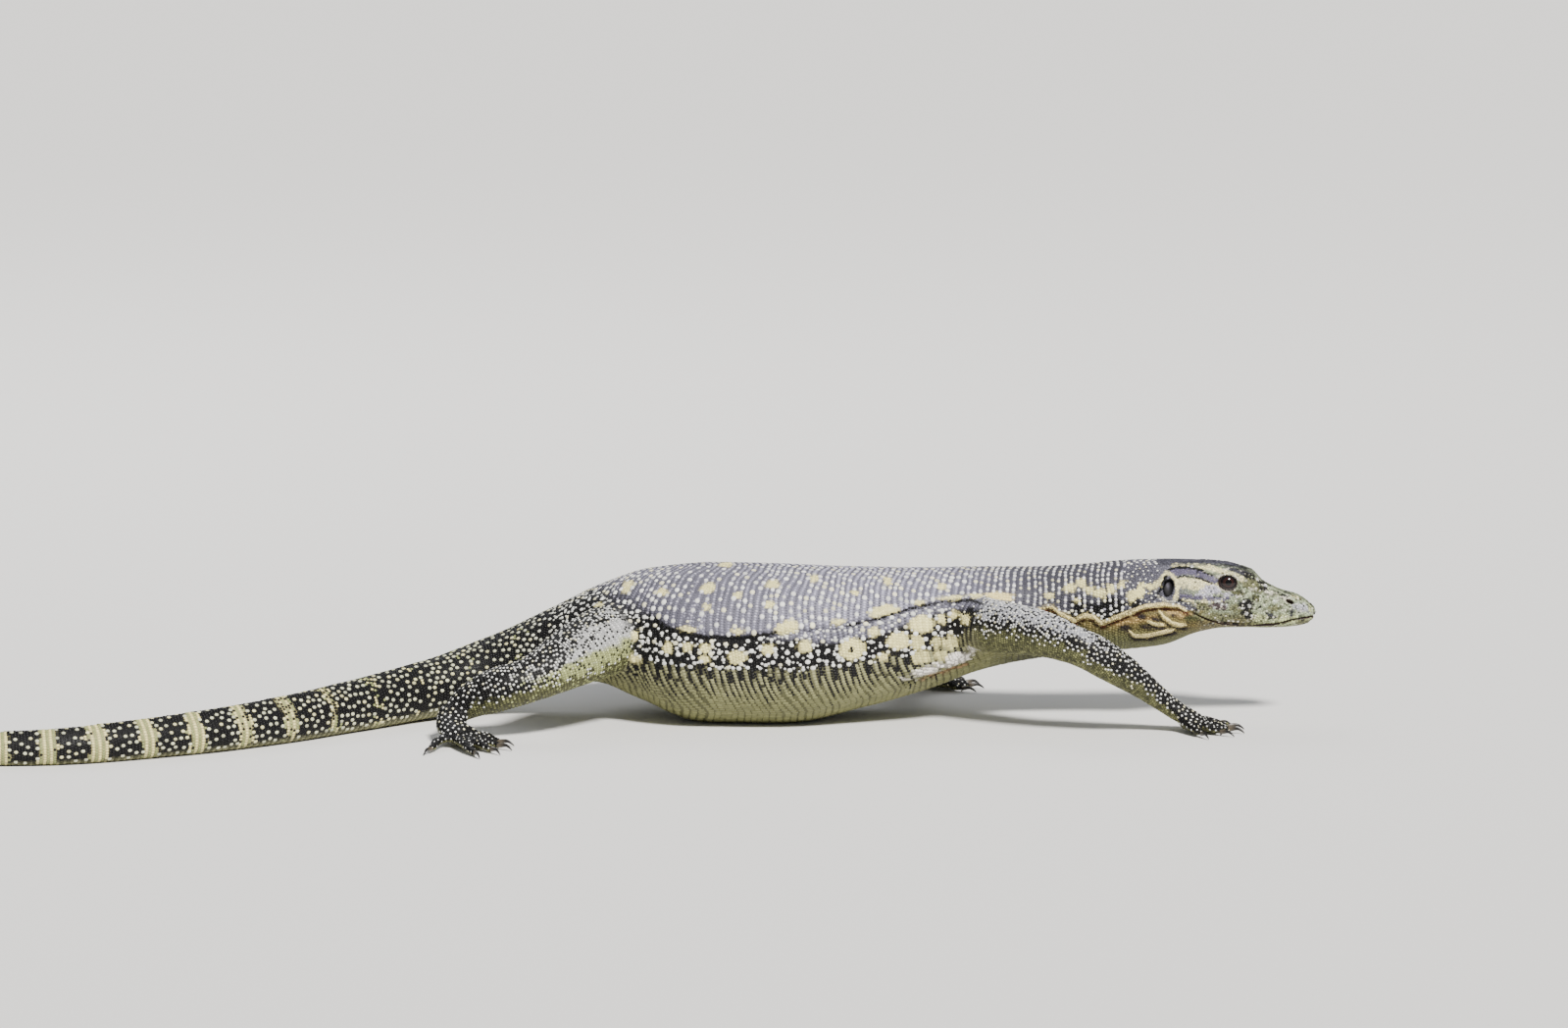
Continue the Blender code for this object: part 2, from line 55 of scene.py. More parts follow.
# nose to tail tip: x, y, top, underside, half width, height share of the widest line, squareness
bodyLine = {
    "nose": (0.4022, 0.000, 0.0790, 0.0734, 0.0028, 0.50, 2.1),
    "noseEdge": (0.4006, 0.000, 0.0810, 0.0705, 0.0058, 0.50, 2.2),
    "lip": (0.3970, 0.000, 0.0843, 0.0668, 0.0090, 0.50, 2.2),
    "nostril": (0.3895, 0.000, 0.0893, 0.0650, 0.0122, 0.48, 2.3),
    "muzzle": (0.3770, 0.000, 0.0932, 0.0638, 0.0138, 0.46, 2.4),
    "bridge": (0.3640, 0.000, 0.0985, 0.0636, 0.0160, 0.44, 2.5),
    "brow": (0.3530, 0.000, 0.1075, 0.0640, 0.0190, 0.50, 2.6),
    "eye": (0.3360, 0.000, 0.1135, 0.0640, 0.0225, 0.55, 2.7),
    "cheek": (0.3150, 0.000, 0.1150, 0.0607, 0.0270, 0.46, 2.6),
    "ear": (0.2930, 0.000, 0.1155, 0.0535, 0.0295, 0.45, 2.5),
    "nape": (0.2650, 0.001, 0.1148, 0.0495, 0.0290, 0.46, 2.3),
    "neck": (0.2300, 0.003, 0.1115, 0.0460, 0.0300, 0.46, 2.2),
    "collar": (0.1950, 0.006, 0.1090, 0.0415, 0.0350, 0.46, 2.2),
    "shoulder": (0.1560, 0.008, 0.1085, 0.0330, 0.0440, 0.46, 2.2),
    "chest": (0.1180, 0.006, 0.1080, 0.0200, 0.0520, 0.44, 2.2),
    "ribs": (0.0650, 0.000, 0.1095, 0.0070, 0.0600, 0.42, 2.3),
    "belly": (0.0100, -0.006, 0.1125, -0.0032, 0.0640, 0.40, 2.3),
    "flank": (-0.0400, -0.006, 0.1135, -0.0026, 0.0620, 0.42, 2.3),
    "loin": (-0.0850, 0.002, 0.1085, 0.0120, 0.0510, 0.46, 2.2),
    "hip": (-0.1220, 0.010, 0.0950, 0.0240, 0.0400, 0.50, 2.2),
    "vent": (-0.1580, 0.014, 0.0765, 0.0190, 0.0310, 0.52, 2.1),
    "tailRoot": (-0.1980, 0.010, 0.0580, 0.0080, 0.0245, 0.50, 2.1),
    "tailBend": (-0.2450, -0.014, 0.0440, 0.0010, 0.0200, 0.48, 2.1),
    "tailLow": (-0.3000, -0.062, 0.0370, -0.0022, 0.0172, 0.46, 2.1),
    "tailSwing": (-0.3500, -0.110, 0.0335, -0.0024, 0.0155, 0.45, 2.1),
    "tailNear": (-0.4200, -0.160, 0.0300, -0.0022, 0.0134, 0.45, 2.1),
    "tailMiddle": (-0.5200, -0.200, 0.0255, -0.0022, 0.0110, 0.45, 2.1),
    "tailFar": (-0.6400, -0.205, 0.0200, -0.0018, 0.0082, 0.45, 2.1),
    "tailThin": (-0.7600, -0.168, 0.0140, -0.0012, 0.0056, 0.45, 2.1),
    "tailEnd": (-0.8600, -0.128, 0.0082, -0.0008, 0.0034, 0.45, 2.0),
    "tailTip": (-0.9100, -0.106, 0.0042, -0.0004, 0.0018, 0.45, 2.0),
}
tailRidge = 0.55  # how much the tail's upper edge narrows

# mouth line on the side of the head, x and z
mouthLine = [
    (0.4060, 0.0752), (0.3880, 0.0735), (0.3720, 0.0700), (0.3520, 0.0690), (0.3340, 0.0708),
    (0.3080, 0.0818),
]


def clamp(values):
    return np.clip(values, 0, 1)


def bell(gap, width):
    # 1 where the gap is nothing, fading out over about two widths
    return np.exp(-(gap / width) ** 2)


def mix(first, second, share):
    return first * (1 - share) + second * share


def unitRows(rows):
    return rows / np.linalg.norm(rows, axis=1)[:, None]


def stepsAlong(path):
    # how far along a path each of its points lies
    return np.concatenate([[0], np.cumsum(np.linalg.norm(np.diff(path, axis=0), axis=1))])


def smoothCurve(knots, values, at):
    # cubic through the knots that never overshoots them
    knots, values = np.asarray(knots, float), np.asarray(values, float)
    step = np.diff(knots)
    slope = np.diff(values, axis=0) / step[:, None]
    bend = np.zeros_like(values)
    bend[0], bend[-1] = slope[0], slope[-1]
    before, after = slope[:-1], slope[1:]
    turns = before * after > 0
    lean, trail = (2 * step[1:] + step[:-1])[:, None], (step[1:] + 2 * step[:-1])[:, None]
    mean = (lean + trail) / (lean / np.where(turns, before, 1) + trail / np.where(turns, after, 1))
    bend[1:-1] = np.where(turns, mean, 0)
    at = np.atleast_1d(np.asarray(at, float))
    span = np.clip(np.searchsorted(knots, at) - 1, 0, len(step) - 1)
    width = step[span][:, None]
    t = clamp((at - knots[span]) / step[span])[:, None]
    start = values[span] * (1 + 2 * t) * (1 - t) ** 2 + bend[span] * width * t * (1 - t) ** 2
    end = values[span + 1] * t**2 * (3 - 2 * t) + bend[span + 1] * width * t**2 * (t - 1)
    return start + end


lineTable = np.array(list(bodyLine.values()))
lineAlong = stepsAlong(lineTable[:, :2])
alongOf = dict(zip(bodyLine, lineAlong))
sampleAlong = np.arange(0, lineAlong[-1], 0.001)
sampleLine = smoothCurve(lineAlong, lineTable, sampleAlong)
sampleRun = unitRows(np.gradient(sampleLine[:, :2], axis=0))


def between(along, first, last):
    # from 0 to 1 on the way between two named places of the body
    return clamp((along - alongOf[first]) / (alongOf[last] - alongOf[first]))


def lineAt(along):
    # the body's measures at distances from the nose, with the direction of travel in plan
    measures = [np.interp(along, sampleAlong, sampleLine[:, k]) for k in range(7)]
    run = np.column_stack([np.interp(along, sampleAlong, sampleRun[:, k]) for k in range(2)])
    return measures, unitRows(run)


def ringPoints(along, turn, grown=0.0):
    # points of the body's surface: turn 0 is the animal's left, a quarter turn its back
    (x, y, top, bottom, half, widest, square), run = lineAt(along)
    middle = bottom + (top - bottom) * widest
    power = 2 / square
    out = np.sign(np.cos(turn)) * np.abs(np.cos(turn)) ** power * (half + grown)
    up = np.sign(np.sin(turn)) * np.abs(np.sin(turn)) ** power
    up = np.where(up > 0, up * (top - middle + grown), up * (middle - bottom + grown))
    pinch = 1 - tailRidge * between(along, "vent", "tailSwing") * clamp(np.sin(turn)) ** 2
    side = np.column_stack([run[:, 1], -run[:, 0]])
    height = np.maximum(middle + up, 0)
    return np.column_stack([x + side[:, 0] * out * pinch, y + side[:, 1] * out * pinch, height])


def bodyPlace(points):
    # distance from the nose, offset to the left, girth (0 back, 1 belly), depth (1 on the surface)
    along = np.empty(len(points))
    for start in range(0, len(points), chunkRows):
        rows = slice(start, start + chunkRows)
        gap = ((points[rows, None, :2] - sampleLine[None, ::2, :2]) ** 2).sum(2)
        along[rows] = sampleAlong[::2][gap.argmin(1)]
    (x, y, top, bottom, half, widest, square), run = lineAt(along)
    shift = (points[:, 0] - x) * run[:, 0] + (points[:, 1] - y) * run[:, 1]
    along = np.clip(along + shift, 0, lineAlong[-1])
    (x, y, top, bottom, half, widest, square), run = lineAt(along)
    offset = (points[:, 0] - x) * run[:, 1] - (points[:, 1] - y) * run[:, 0]
    middle = bottom + (top - bottom) * widest
    rise = points[:, 2] - middle
    tall = np.where(rise > 0, top - middle, middle - bottom)
    girth = np.abs(np.arctan2(np.abs(offset) / half, rise / tall)) / math.pi
    depth = ((np.abs(offset) / half) ** square + (np.abs(rise) / tall) ** square) ** (1 / square)
    return {"along": along, "offset": offset, "girth": girth, "depth": depth}


def sideView(points):
    # where a point shows in the photograph, u across and v down; the left side shows as the right one does
    place = bodyPlace(points)
    offset, run = place["offset"], lineAt(place["along"])[1]
    across = points[:, 0].copy()
    near = points[:, 1].copy()
    left = offset > 0
    across[left] = (points[:, 0] - 2 * offset * run[:, 1])[left]
    near[left] = (points[:, 1] + 2 * offset * run[:, 0])[left]
    height = points[:, 2] * riseCos + near * riseSin
    u = across * photo["pixelsPerMetre"] + photo["originAcross"]
    v = photo["floorDown"] - height * photo["pixelsPerMetre"]
    return u, v, place


def meshArrays(mesh):
    points = np.empty(len(mesh.vertices) * 3)
    mesh.vertices.foreach_get("co", points)
    normals = np.empty(len(mesh.vertices) * 3)
    mesh.vertices.foreach_get("normal", normals)
    return points.reshape(-1, 3), normals.reshape(-1, 3)


def addObject(name, mesh):
    piece = bpy.data.objects.new(name, mesh)
    bpy.context.scene.collection.objects.link(piece)
    return piece


def meshFrom(name, points, faces):
    mesh = bpy.data.meshes.new(name)
    mesh.from_pydata([tuple(p) for p in points], [], faces)
    mesh.update()
    return mesh


def setPoints(mesh, points):
    mesh.vertices.foreach_set("co", points.ravel())
    mesh.update()


def shadeSmooth(mesh):
    mesh.polygons.foreach_set("use_smooth", np.ones(len(mesh.polygons), bool))


def setTint(mesh, colours):
    values = np.column_stack([colours, np.ones(len(colours))])
    mesh.attributes.new("tint", "FLOAT_COLOR", "POINT").data.foreach_set("color", values.ravel())


def openShape(mesh, merge=None):
    # an editable copy; with a merging distance its doubles go and its faces turn outwards
    shape = bmesh.new()
    shape.from_mesh(mesh)
    if merge is not None:
        bmesh.ops.remove_doubles(shape, verts=shape.verts, dist=merge)
        bmesh.ops.recalc_face_normals(shape, faces=shape.faces)
    return shape


def closeShape(shape, mesh):
    shape.to_mesh(mesh)
    shape.free()
    return mesh


def tubeFaces(levels, corners):
    # faces between rings of points
    faces = []
    for level in range(levels - 1):
        low = level * corners
        for corner in range(corners):
            after = (corner + 1) % corners
            faces.append((low + corner, low + after, low + corners + after, low + corners + corner))
    return faces


def plainMesh(piece):
    # the evaluated piece as a plain mesh
    graph = bpy.context.evaluated_depsgraph_get()
    return bpy.data.meshes.new_from_object(piece.evaluated_get(graph), depsgraph=graph)


def segmentDistance(points, path):
    # distance from 2-D points to a polyline, with the share along it and the side that each lies on
    path = np.asarray(path, float)
    best = np.full(len(points), 1e9)
    share, side = np.zeros(len(points)), np.zeros(len(points))
    lengths = np.linalg.norm(np.diff(path, axis=0), axis=1)
    total, done = lengths.sum(), 0.0
    for start, end, length in zip(path[:-1], path[1:], lengths):
        ray = (end - start) / length
        t = np.clip((points - start) @ ray, 0, length)
        gap = points - (start + t[:, None] * ray)
        far = np.linalg.norm(gap, axis=1)
        closer = far < best
        best = np.where(closer, far, best)
        share = np.where(closer, (done + t) / total, share)
        side = np.where(closer, np.sign(ray[0] * gap[:, 1] - ray[1] * gap[:, 0]), side)
        done += length
    return best, share, side


# the limbs' centre lines
sideSigns = {"right": -1.0, "left": 1.0}
limbNames = ["upper_arm", "forearm", "hand", "thigh", "shank", "foot"]
limbSettings = {
    "touch": 0.0012,  # points this close belong to both solids at a joint
    "rootDepth": 0.012,
    "palmReach": 1.15,
    "samples": 60,
}


def limbAxis(names):
    # centre line of a limb, from the facing ends of its solids
    clouds = [meshArrays(nodes[name].data)[0] for name in names]
    joints = []
    for first, second in zip(clouds[:-1], clouds[1:]):
        near = np.array([np.min(((second - p) ** 2).sum(1)) for p in first]) < limbSettings["touch"] ** 2
        joints.append(first[near].mean(0))
    reach = np.linalg.norm(clouds[0] - joints[0], axis=1)
    root = clouds[0][reach > reach.max() - limbSettings["rootDepth"]].mean(0)
    palm = joints[1] + (clouds[2].mean(0) - joints[1]) * limbSettings["palmReach"]
    knots = np.array([root, *joints, palm])
    along = stepsAlong(knots)
    at = np.linspace(0, along[-1], limbSettings["samples"])
    return at, smoothCurve(along, knots, at)


limbs = {}
for side in sideSigns:
    for kind, names in (("fore", limbNames[0:3]), ("hind", limbNames[3:6])):
        at, path = limbAxis([name + "_" + side for name in names])
        limbs[kind + "_" + side] = {"at": at, "path": path, "fore": kind == "fore"}
limbEnds = np.array([limb["at"][-1] for limb in limbs.values()])


def limbPlace(points):
    # nearest limb of each point, the distance along it and the direction it runs in there
    best = np.full(len(points), 1e9)
    which = np.zeros(len(points), int)
    at = np.zeros(len(points))
    run = np.zeros((len(points), 3))
    for number, limb in enumerate(limbs.values()):
        path = limb["path"]
        ways = unitRows(np.gradient(path, axis=0))
        for start in range(0, len(points), chunkRows):
            rows = slice(start, start + chunkRows)
            gap = ((points[rows, None, :] - path[None]) ** 2).sum(2)
            pick = gap.argmin(1)
            far = gap[np.arange(len(pick)), pick]
            closer = far < best[rows]
            best[rows] = np.where(closer, far, best[rows])
            which[rows] = np.where(closer, number, which[rows])
            at[rows] = np.where(closer, limb["at"][pick], at[rows])
            run[rows] = np.where(closer[:, None], ways[pick], run[rows])
    return np.sqrt(best), which, at, run


# the skin: one closed surface round the whole animal
skinSettings = {
    "voxel": 0.0028,
    "bodyCorners": 96,
    "grow": 0.0007,  # keeps neighbouring solids touching while they are joined
    "inset": 0.00040,  # room for the scales
    "floorClear": 0.00025,
    "firstRounds": 14,  # of smoothing, before and after the fine places are split
    "lastRounds": 3,
}
fleshNodes = ["head", "lower_jaw", "neck", "trunk_front", "trunk_middle", "trunk_rear"]
fleshNodes += ["tail_%d" % k for k in range(1, 6)]
limbNodes = [name + "_" + side for name in limbNames for side in ("right", "left")]


def bodyShell():
    rings = np.concatenate([
        np.arange(0.0, 0.012, 0.0008), np.arange(0.012, alongOf["nape"], 0.0016),
        np.arange(alongOf["nape"], lineAlong[-1], 0.003), [lineAlong[-1]],
    ])
    corners = skinSettings["bodyCorners"]
    turn = np.arange(corners) / corners * math.tau
    points = np.concatenate([ringPoints(np.full(corners, a), turn, skinSettings["grow"]) for a in rings])
    faces = [tuple(range(corners - 1, -1, -1)), *tubeFaces(len(rings), corners)]
    faces.append(tuple(range((len(rings) - 1) * corners, len(rings) * corners)))
    return meshFrom("bodyShell", points, faces)


def joinedFlesh():
    shape = openShape(bodyShell())
    for name in limbNodes:
        part = openShape(nodes[name].data, merge=1e-5)
        part.normal_update()
        for vert in part.verts:
            vert.co += vert.normal * skinSettings["grow"]
        shape.from_mesh(closeShape(part, bpy.data.meshes.new("grown")))
    bmesh.ops.recalc_face_normals(shape, faces=shape.faces)
    return closeShape(shape, bpy.data.meshes.new("flesh"))


def smoothed(points, edges, weight, rounds):
    # evens the surface without shrinking it
    count = np.bincount(edges.ravel(), minlength=len(points))[:, None]
    for step in range(rounds):
        for pull in (0.52, -0.53):
            total = np.zeros_like(points)
            for k in range(3):
                total[:, k] = np.bincount(edges[:, 0], points[edges[:, 1], k], len(points))
                total[:, k] += np.bincount(edges[:, 1], points[edges[:, 0], k], len(points))
            points = points + (total / count - points) * (pull * weight)[:, None]
    return points


def edgeArray(mesh):
    edges = np.empty(len(mesh.edges) * 2, int)
    mesh.edges.foreach_get("vertices", edges)
    return edges.reshape(-1, 2)


def keepLargestShell(mesh):
    shape = openShape(mesh)
    seen, shells = set(), []
    for first in shape.verts:
        if first in seen:
            continue
        shell, front = [], [first]
        seen.add(first)
        while front:
            vert = front.pop()
            shell.append(vert)
            for edge in vert.link_edges:
                other = edge.other_vert(vert)
                if other not in seen:
                    seen.add(other)
                    front.append(other)
        shells.append(shell)
    shells.sort(key=len)
    for shell in shells[:-1]:
        bmesh.ops.delete(shape, geom=shell, context="VERTS")
    closeShape(shape, mesh)


def refine(mesh, chooses):
    # splits the faces near the places where the surface carries fine detail
    shape = openShape(mesh)
    chosen = chooses(np.array([face.calc_center_median() for face in shape.faces]))
    edges = {edge for face, picked in zip(shape.faces, chosen) if picked for edge in face.edges}
    bmesh.ops.subdivide_edges(shape, edges=list(edges), cuts=1, use_grid_fill=True, smooth=0.0)
    closeShape(shape, mesh)


# places on the head, in the photograph's pixels
eyeSpot = {"at": (1251.0, 594.0), "half": (8.9, 7.0), "tilt": 6.0}
eyeShape = {"half": (0.0063, 0.0048), "tilt": -6.0, "lid": 0.10}  # opening between the lids, their thickness
earSpot = {"at": (1190.5, 599.0), "half": (5.4, 9.6), "tilt": 12.0}
nostrilSpot = {"at": (1315.2, 613.2), "half": (4.4, 2.3), "tilt": 26.0}


def ovalReach(u, v, spot, grown=0.0):
    # 1 on the edge of a tilted oval, less inside it
    tilt = math.radians(spot["tilt"])
    du, dv = u - spot["at"][0], v - spot["at"][1]
    a = (du * math.cos(tilt) + dv * math.sin(tilt)) / (spot["half"][0] + grown)
    b = (-du * math.sin(tilt) + dv * math.cos(tilt)) / (spot["half"][1] + grown)
    return np.hypot(a, b)


def mouthGap(points):
    return segmentDistance(points[:, [0, 2]], smoothMouth)


mouthX = np.linspace(mouthLine[0][0], mouthLine[-1][0], 24)
mouthKnots = np.array(mouthLine)
smoothMouth = np.column_stack([mouthX, smoothCurve(-mouthKnots[:, 0], mouthKnots[:, 1:], -mouthX)[:, 0]])

# lines of the side, in the photograph's pixels: the flank's edge, the throat's fold and its crescents
sideLine = np.array([
    (540, 566), (585, 590), (630, 612), (663, 626), (680, 638), (700, 645), (725, 648), (761, 648),
    (790, 644), (830, 640), (862, 636), (898, 628), (929, 618), (955, 612.5), (990, 610), (1016, 618),
    (1060, 622),
], float)
foldLine = [
    (1057, 621), (1071, 618), (1080, 625.5), (1095, 632.5), (1105.5, 627), (1115, 629), (1123, 635.5),
    (1132, 632), (1153, 623.5), (1168, 618), (1184, 616.5), (1201, 618), (1209, 622),
]
crescents = [
    [(1181, 622.5), (1186, 629), (1194, 635), (1202, 637.5), (1209, 637)],
    [(1151, 643), (1157, 648.5), (1170, 648), (1184, 645), (1198, 641)],
    [(1169, 633), (1177, 636.5), (1187, 637)],
]

# skin folds along such lines: a raised edge with a crease under it
foldMeasures = ("path", "crease", "width", "below", "ridge", "ridgeWidth", "above")
foldRows = {
    "side": ([*sideLine[3:15], (1013, 616)], 0.0015, 2.6, 2.0, 0.0013, 6.0, 4.0),
    "throat": (foldLine, 0.0026, 2.8, 4.8, 0.0013, 2.3, 0.0),
    "crescentFront": (crescents[0], 0.0014, 2.4, 3.6, 0.0014, 2.5, 0.0),
    "crescentLow": (crescents[1], 0.0012, 2.2, 3.4, 0.0013, 2.4, 0.0),
    "crescentShort": (crescents[2], 0.0008, 2.0, 2.8, 0.0007, 1.6, 0.0),
    "armpit": ([(918, 693), (940, 688), (964, 681), (992, 668)], 0.0022, 3.2, 5.0, 0.0026, 6.0, 4.0),
    "behindEar": ([(1168, 616), (1178, 611), (1186, 606)], 0.0010, 1.5, 0.0, 0.0003, 2.0, 2.5),
    "elbow": ([(1086, 664), (1094, 672), (1098, 682)], 0.0008, 2.0, 0.0, 0.0, 2.0, 2.5),
}
folds = {name: dict(zip(foldMeasures, row)) for name, row in foldRows.items()}
browLine = [(1222, 584), (1236, 581.5), (1252, 580.5), (1264, 583.5), (1275, 588), (1290, 598), (1306, 605)]


def lidShape(points):
    # lids over the ball of each eye, and the opening between them
    shaped = points.copy()
    for side, sign in sideSigns.items():
        low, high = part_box("eye_" + side)
        radii = np.array((high - low) / 2)
        forward, upward = np.array((0, sign * riseCos, riseSin)), np.array((0, -sign * riseSin, riseCos))
        gap = points - np.array((low + high) / 2)
        near = np.linalg.norm(gap, axis=1) < 0.018
        reach = np.linalg.norm(gap / radii, axis=1)
        tilt = math.radians(eyeShape["tilt"])
        a = gap[:, 0] * math.cos(tilt) + (gap @ upward) * math.sin(tilt)
        b = -gap[:, 0] * math.sin(tilt) + (gap @ upward) * math.cos(tilt)
        opening = np.sqrt(np.abs(a / eyeShape["half"][0]) ** 1.75 + np.abs(b / eyeShape["half"][1]) ** 2)
        front = near & (gap @ forward > 0)
        rim = 1 + eyeShape["lid"]
        swelling = rim + 0.05 * bell(opening - 1.12, 0.12)
        outside = np.maximum(mix(reach, swelling, bell(opening - 1, 0.42)), rim)
        # two creases round the lids
        outside -= 0.055 * bell(opening - 1.50, 0.10) + 0.04 * bell(opening - 1.85, 0.12)
        inside = 0.80 + 0.32 * clamp((opening - 0.86) / 0.14) ** 3
        wanted = np.where(opening < 1, inside, outside)
        target = reach + (wanted - reach) * np.where(front, clamp((2.7 - opening) / 0.9), 0)
        shaped += (gap * (target / np.maximum(reach, 1e-6) - 1)[:, None]) * front[:, None]
    return shaped


# swellings and hollows of the head: place, width and height in pixels, and rise
headForms = {
    "jaw": [(1212, 604, 13, 10, 0.0013), (1273, 604, 9, 7, -0.0013), (1238, 612, 12, 4, 0.0007)],
    "snout": [(1212, 585, 13, 4, -0.0008), (1318, 611, 8, 8, 0.0009), (1293, 615, 8, 8, -0.0006)],
    "lips": [(1208, 617, 6, 4, -0.0008), (1337, 628, 5, 5, -0.0002)],
    "brow": [(1278, 584, 13, 10, 0.0017), (1296, 600, 9, 5, 0.0004)],
}
# how far rims stand out and openings go in
openings = {
    "earRim": 0.0009, "ear": 0.0046, "nostrilRim": 0.0007, "nostril": 0.0032,
    "lips": 0.0005, "mouth": 0.0015,
}
# swellings of thigh and upper arm, of shank and forearm, and the hollow between: rise, share, width
muscleForms = [(0.0012, 0.27, 0.10), (0.0014, 0.62, 0.09), (-0.0009, 0.46, 0.05)]


def sculpt(points, normals):
    # folds, lids, nostrils, mouth line and ears, as moves along the surface's own normals
    u, v, place = sideView(points)
    along, offset, girth, depth = place.values()
    onBody = depth < 1.12
    head = onBody & (along < alongOf["nape"] + 0.012)
    lateral = clamp((0.5 - np.abs(girth - 0.5)) / 0.12)
    move = np.full(len(points), -(skinSettings["grow"] + skinSettings["inset"]))
    spots = np.column_stack([u, v])
    for fold in folds.values():
        gap, share, side = segmentDistance(spots, fold["path"])
        ends = clamp(np.minimum(share, 1 - share) / 0.10) ** 0.7
        gap = gap * side
        crease = bell(gap - fold["below"], fold["width"])
        ridge = bell(gap + fold["above"], fold["ridgeWidth"])
        move += np.where(onBody, (fold["ridge"] * ridge - fold["crease"] * crease) * ends * lateral, 0)
    # wrinkles across the neck and throat, and slack rows down the flank
    neck = clamp(1 - np.abs(along - 0.175) / 0.07) * onBody
    ripple = np.sin(along * 880 + 2.5 * np.sin(v * 0.16) + 1.5 * np.sin(u * 0.05))
    move += neck * clamp(girth * 1.6 - 0.2) * ripple * 0.00032
    flank = clamp(1 - np.abs(u - 790) / 190) * clamp(1 - np.abs(girth - 0.52) / 0.28) * onBody
    move += flank * np.sin(u * 0.30 + 2.0 * np.sin(v * 0.07) + 0.9 * np.sin(u * 0.021)) * 0.00042
    armpit = clamp(1 - np.hypot((u - 985) / 46, (v - 664) / 24))
    move += armpit * np.sin((v + u * 0.45) * 0.75) * 0.0006
    # swelling muscles and hollows between them
    limbFar, limbWhich, limbAt = limbPlace(points)[:3]
    onLimb = clamp((depth - 1.02) / 0.08) * (limbFar < 0.04)
    share = limbAt / limbEnds[limbWhich]
    muscles = sum(rise * bell(share - at, width) for rise, at, width in muscleForms)
    move += onLimb * clamp(normals[:, 2] * 0.6 + 0.4) * muscles

    def swelling(across, down, wide, tall, rise):
        return np.where(head, rise * np.exp(-((u - across) / wide) ** 2 - ((v - down) / tall) ** 2), 0)

    for forms in headForms.values():
        move += sum(swelling(*form) for form in forms)
    chin = clamp((girth - 0.62) / 0.25) * clamp((0.115 - along) / 0.03)
    move -= np.where(head, 0.0017 * chin, 0)
    gap, share, side = segmentDistance(spots, browLine)
    ridge = 0.0012 * bell(gap, 2.6) * clamp(share * 8) * clamp((1 - share) * 5)
    move += np.where(head & (np.abs(girth - 0.25) < 0.25), ridge, 0)
    # two rows of plates and a groove between them on the crown of the snout
    crown = head & (girth < 0.20) & (along < 0.085)
    move += np.where(crown, 0.0003 * np.cos(np.abs(offset) * 900), 0)
    # ear opening with its rim
    reach = ovalReach(u, v, earSpot)
    move += np.where(head, openings["earRim"] * bell(reach - 1.28, 0.22), 0)
    hollow = openings["ear"] * np.clip((1.0 - reach) / 0.22, 0.25, 1)
    move -= np.where(head & (reach < 1.0), hollow, 0)
    # nostril
    reach = ovalReach(u, v, nostrilSpot)
    move += np.where(head, openings["nostrilRim"] * bell(reach - 1.5, 0.45), 0)
    move -= np.where(head, openings["nostril"] * clamp((1.08 - reach) / 0.55) ** 1.3, 0)
    # mouth line, with fuller lips above and below it
    gap, share, side = mouthGap(points)
    gap = gap * 1000
    mouth = head & (points[:, 0] > mouthLine[-1][0] - 0.002) & (girth > 0.2)
    lips = openings["lips"] * bell(gap - 1.9, 1.1) - openings["mouth"] * bell(gap, 0.70)
    move += np.where(mouth, lips * clamp((1 - share) / 0.06), 0)
    return lidShape(points + normals * move[:, None])


def fineHead(centres):
    return centres[:, 0] > 0.268


def finestHead(centres):
    u, v, place = sideView(centres)
    close = ovalReach(u, v, eyeSpot, 5) < 1
    close |= (ovalReach(u, v, earSpot, 5) < 1) | (ovalReach(u, v, nostrilSpot, 5) < 1)
    close |= (mouthGap(centres)[0] < 0.0016) & (centres[:, 0] > mouthLine[-1][0] - 0.003)
    return close & (centres[:, 0] > 0.28) & (np.abs(place["girth"] - 0.5) < 0.42)


def finestLids(centres):
    u, v, place = sideView(centres)
    reach = ovalReach(u, v, eyeSpot)
    lateral = np.abs(place["girth"] - 0.5) < 0.42
    return (reach > 0.72) & (reach < 1.32) & (centres[:, 0] > 0.3) & lateral


def finePaws(centres):
    chosen = np.zeros(len(centres), bool)
    for name in limbNodes:
        if name.startswith(("hand", "foot")):
            low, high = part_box(name)
            inside = (centres > np.array(low) - 0.002) & (centres < np.array(high) + 0.002)
            chosen |= inside.all(1)
    return chosen & (centres[:, 2] < 0.03)


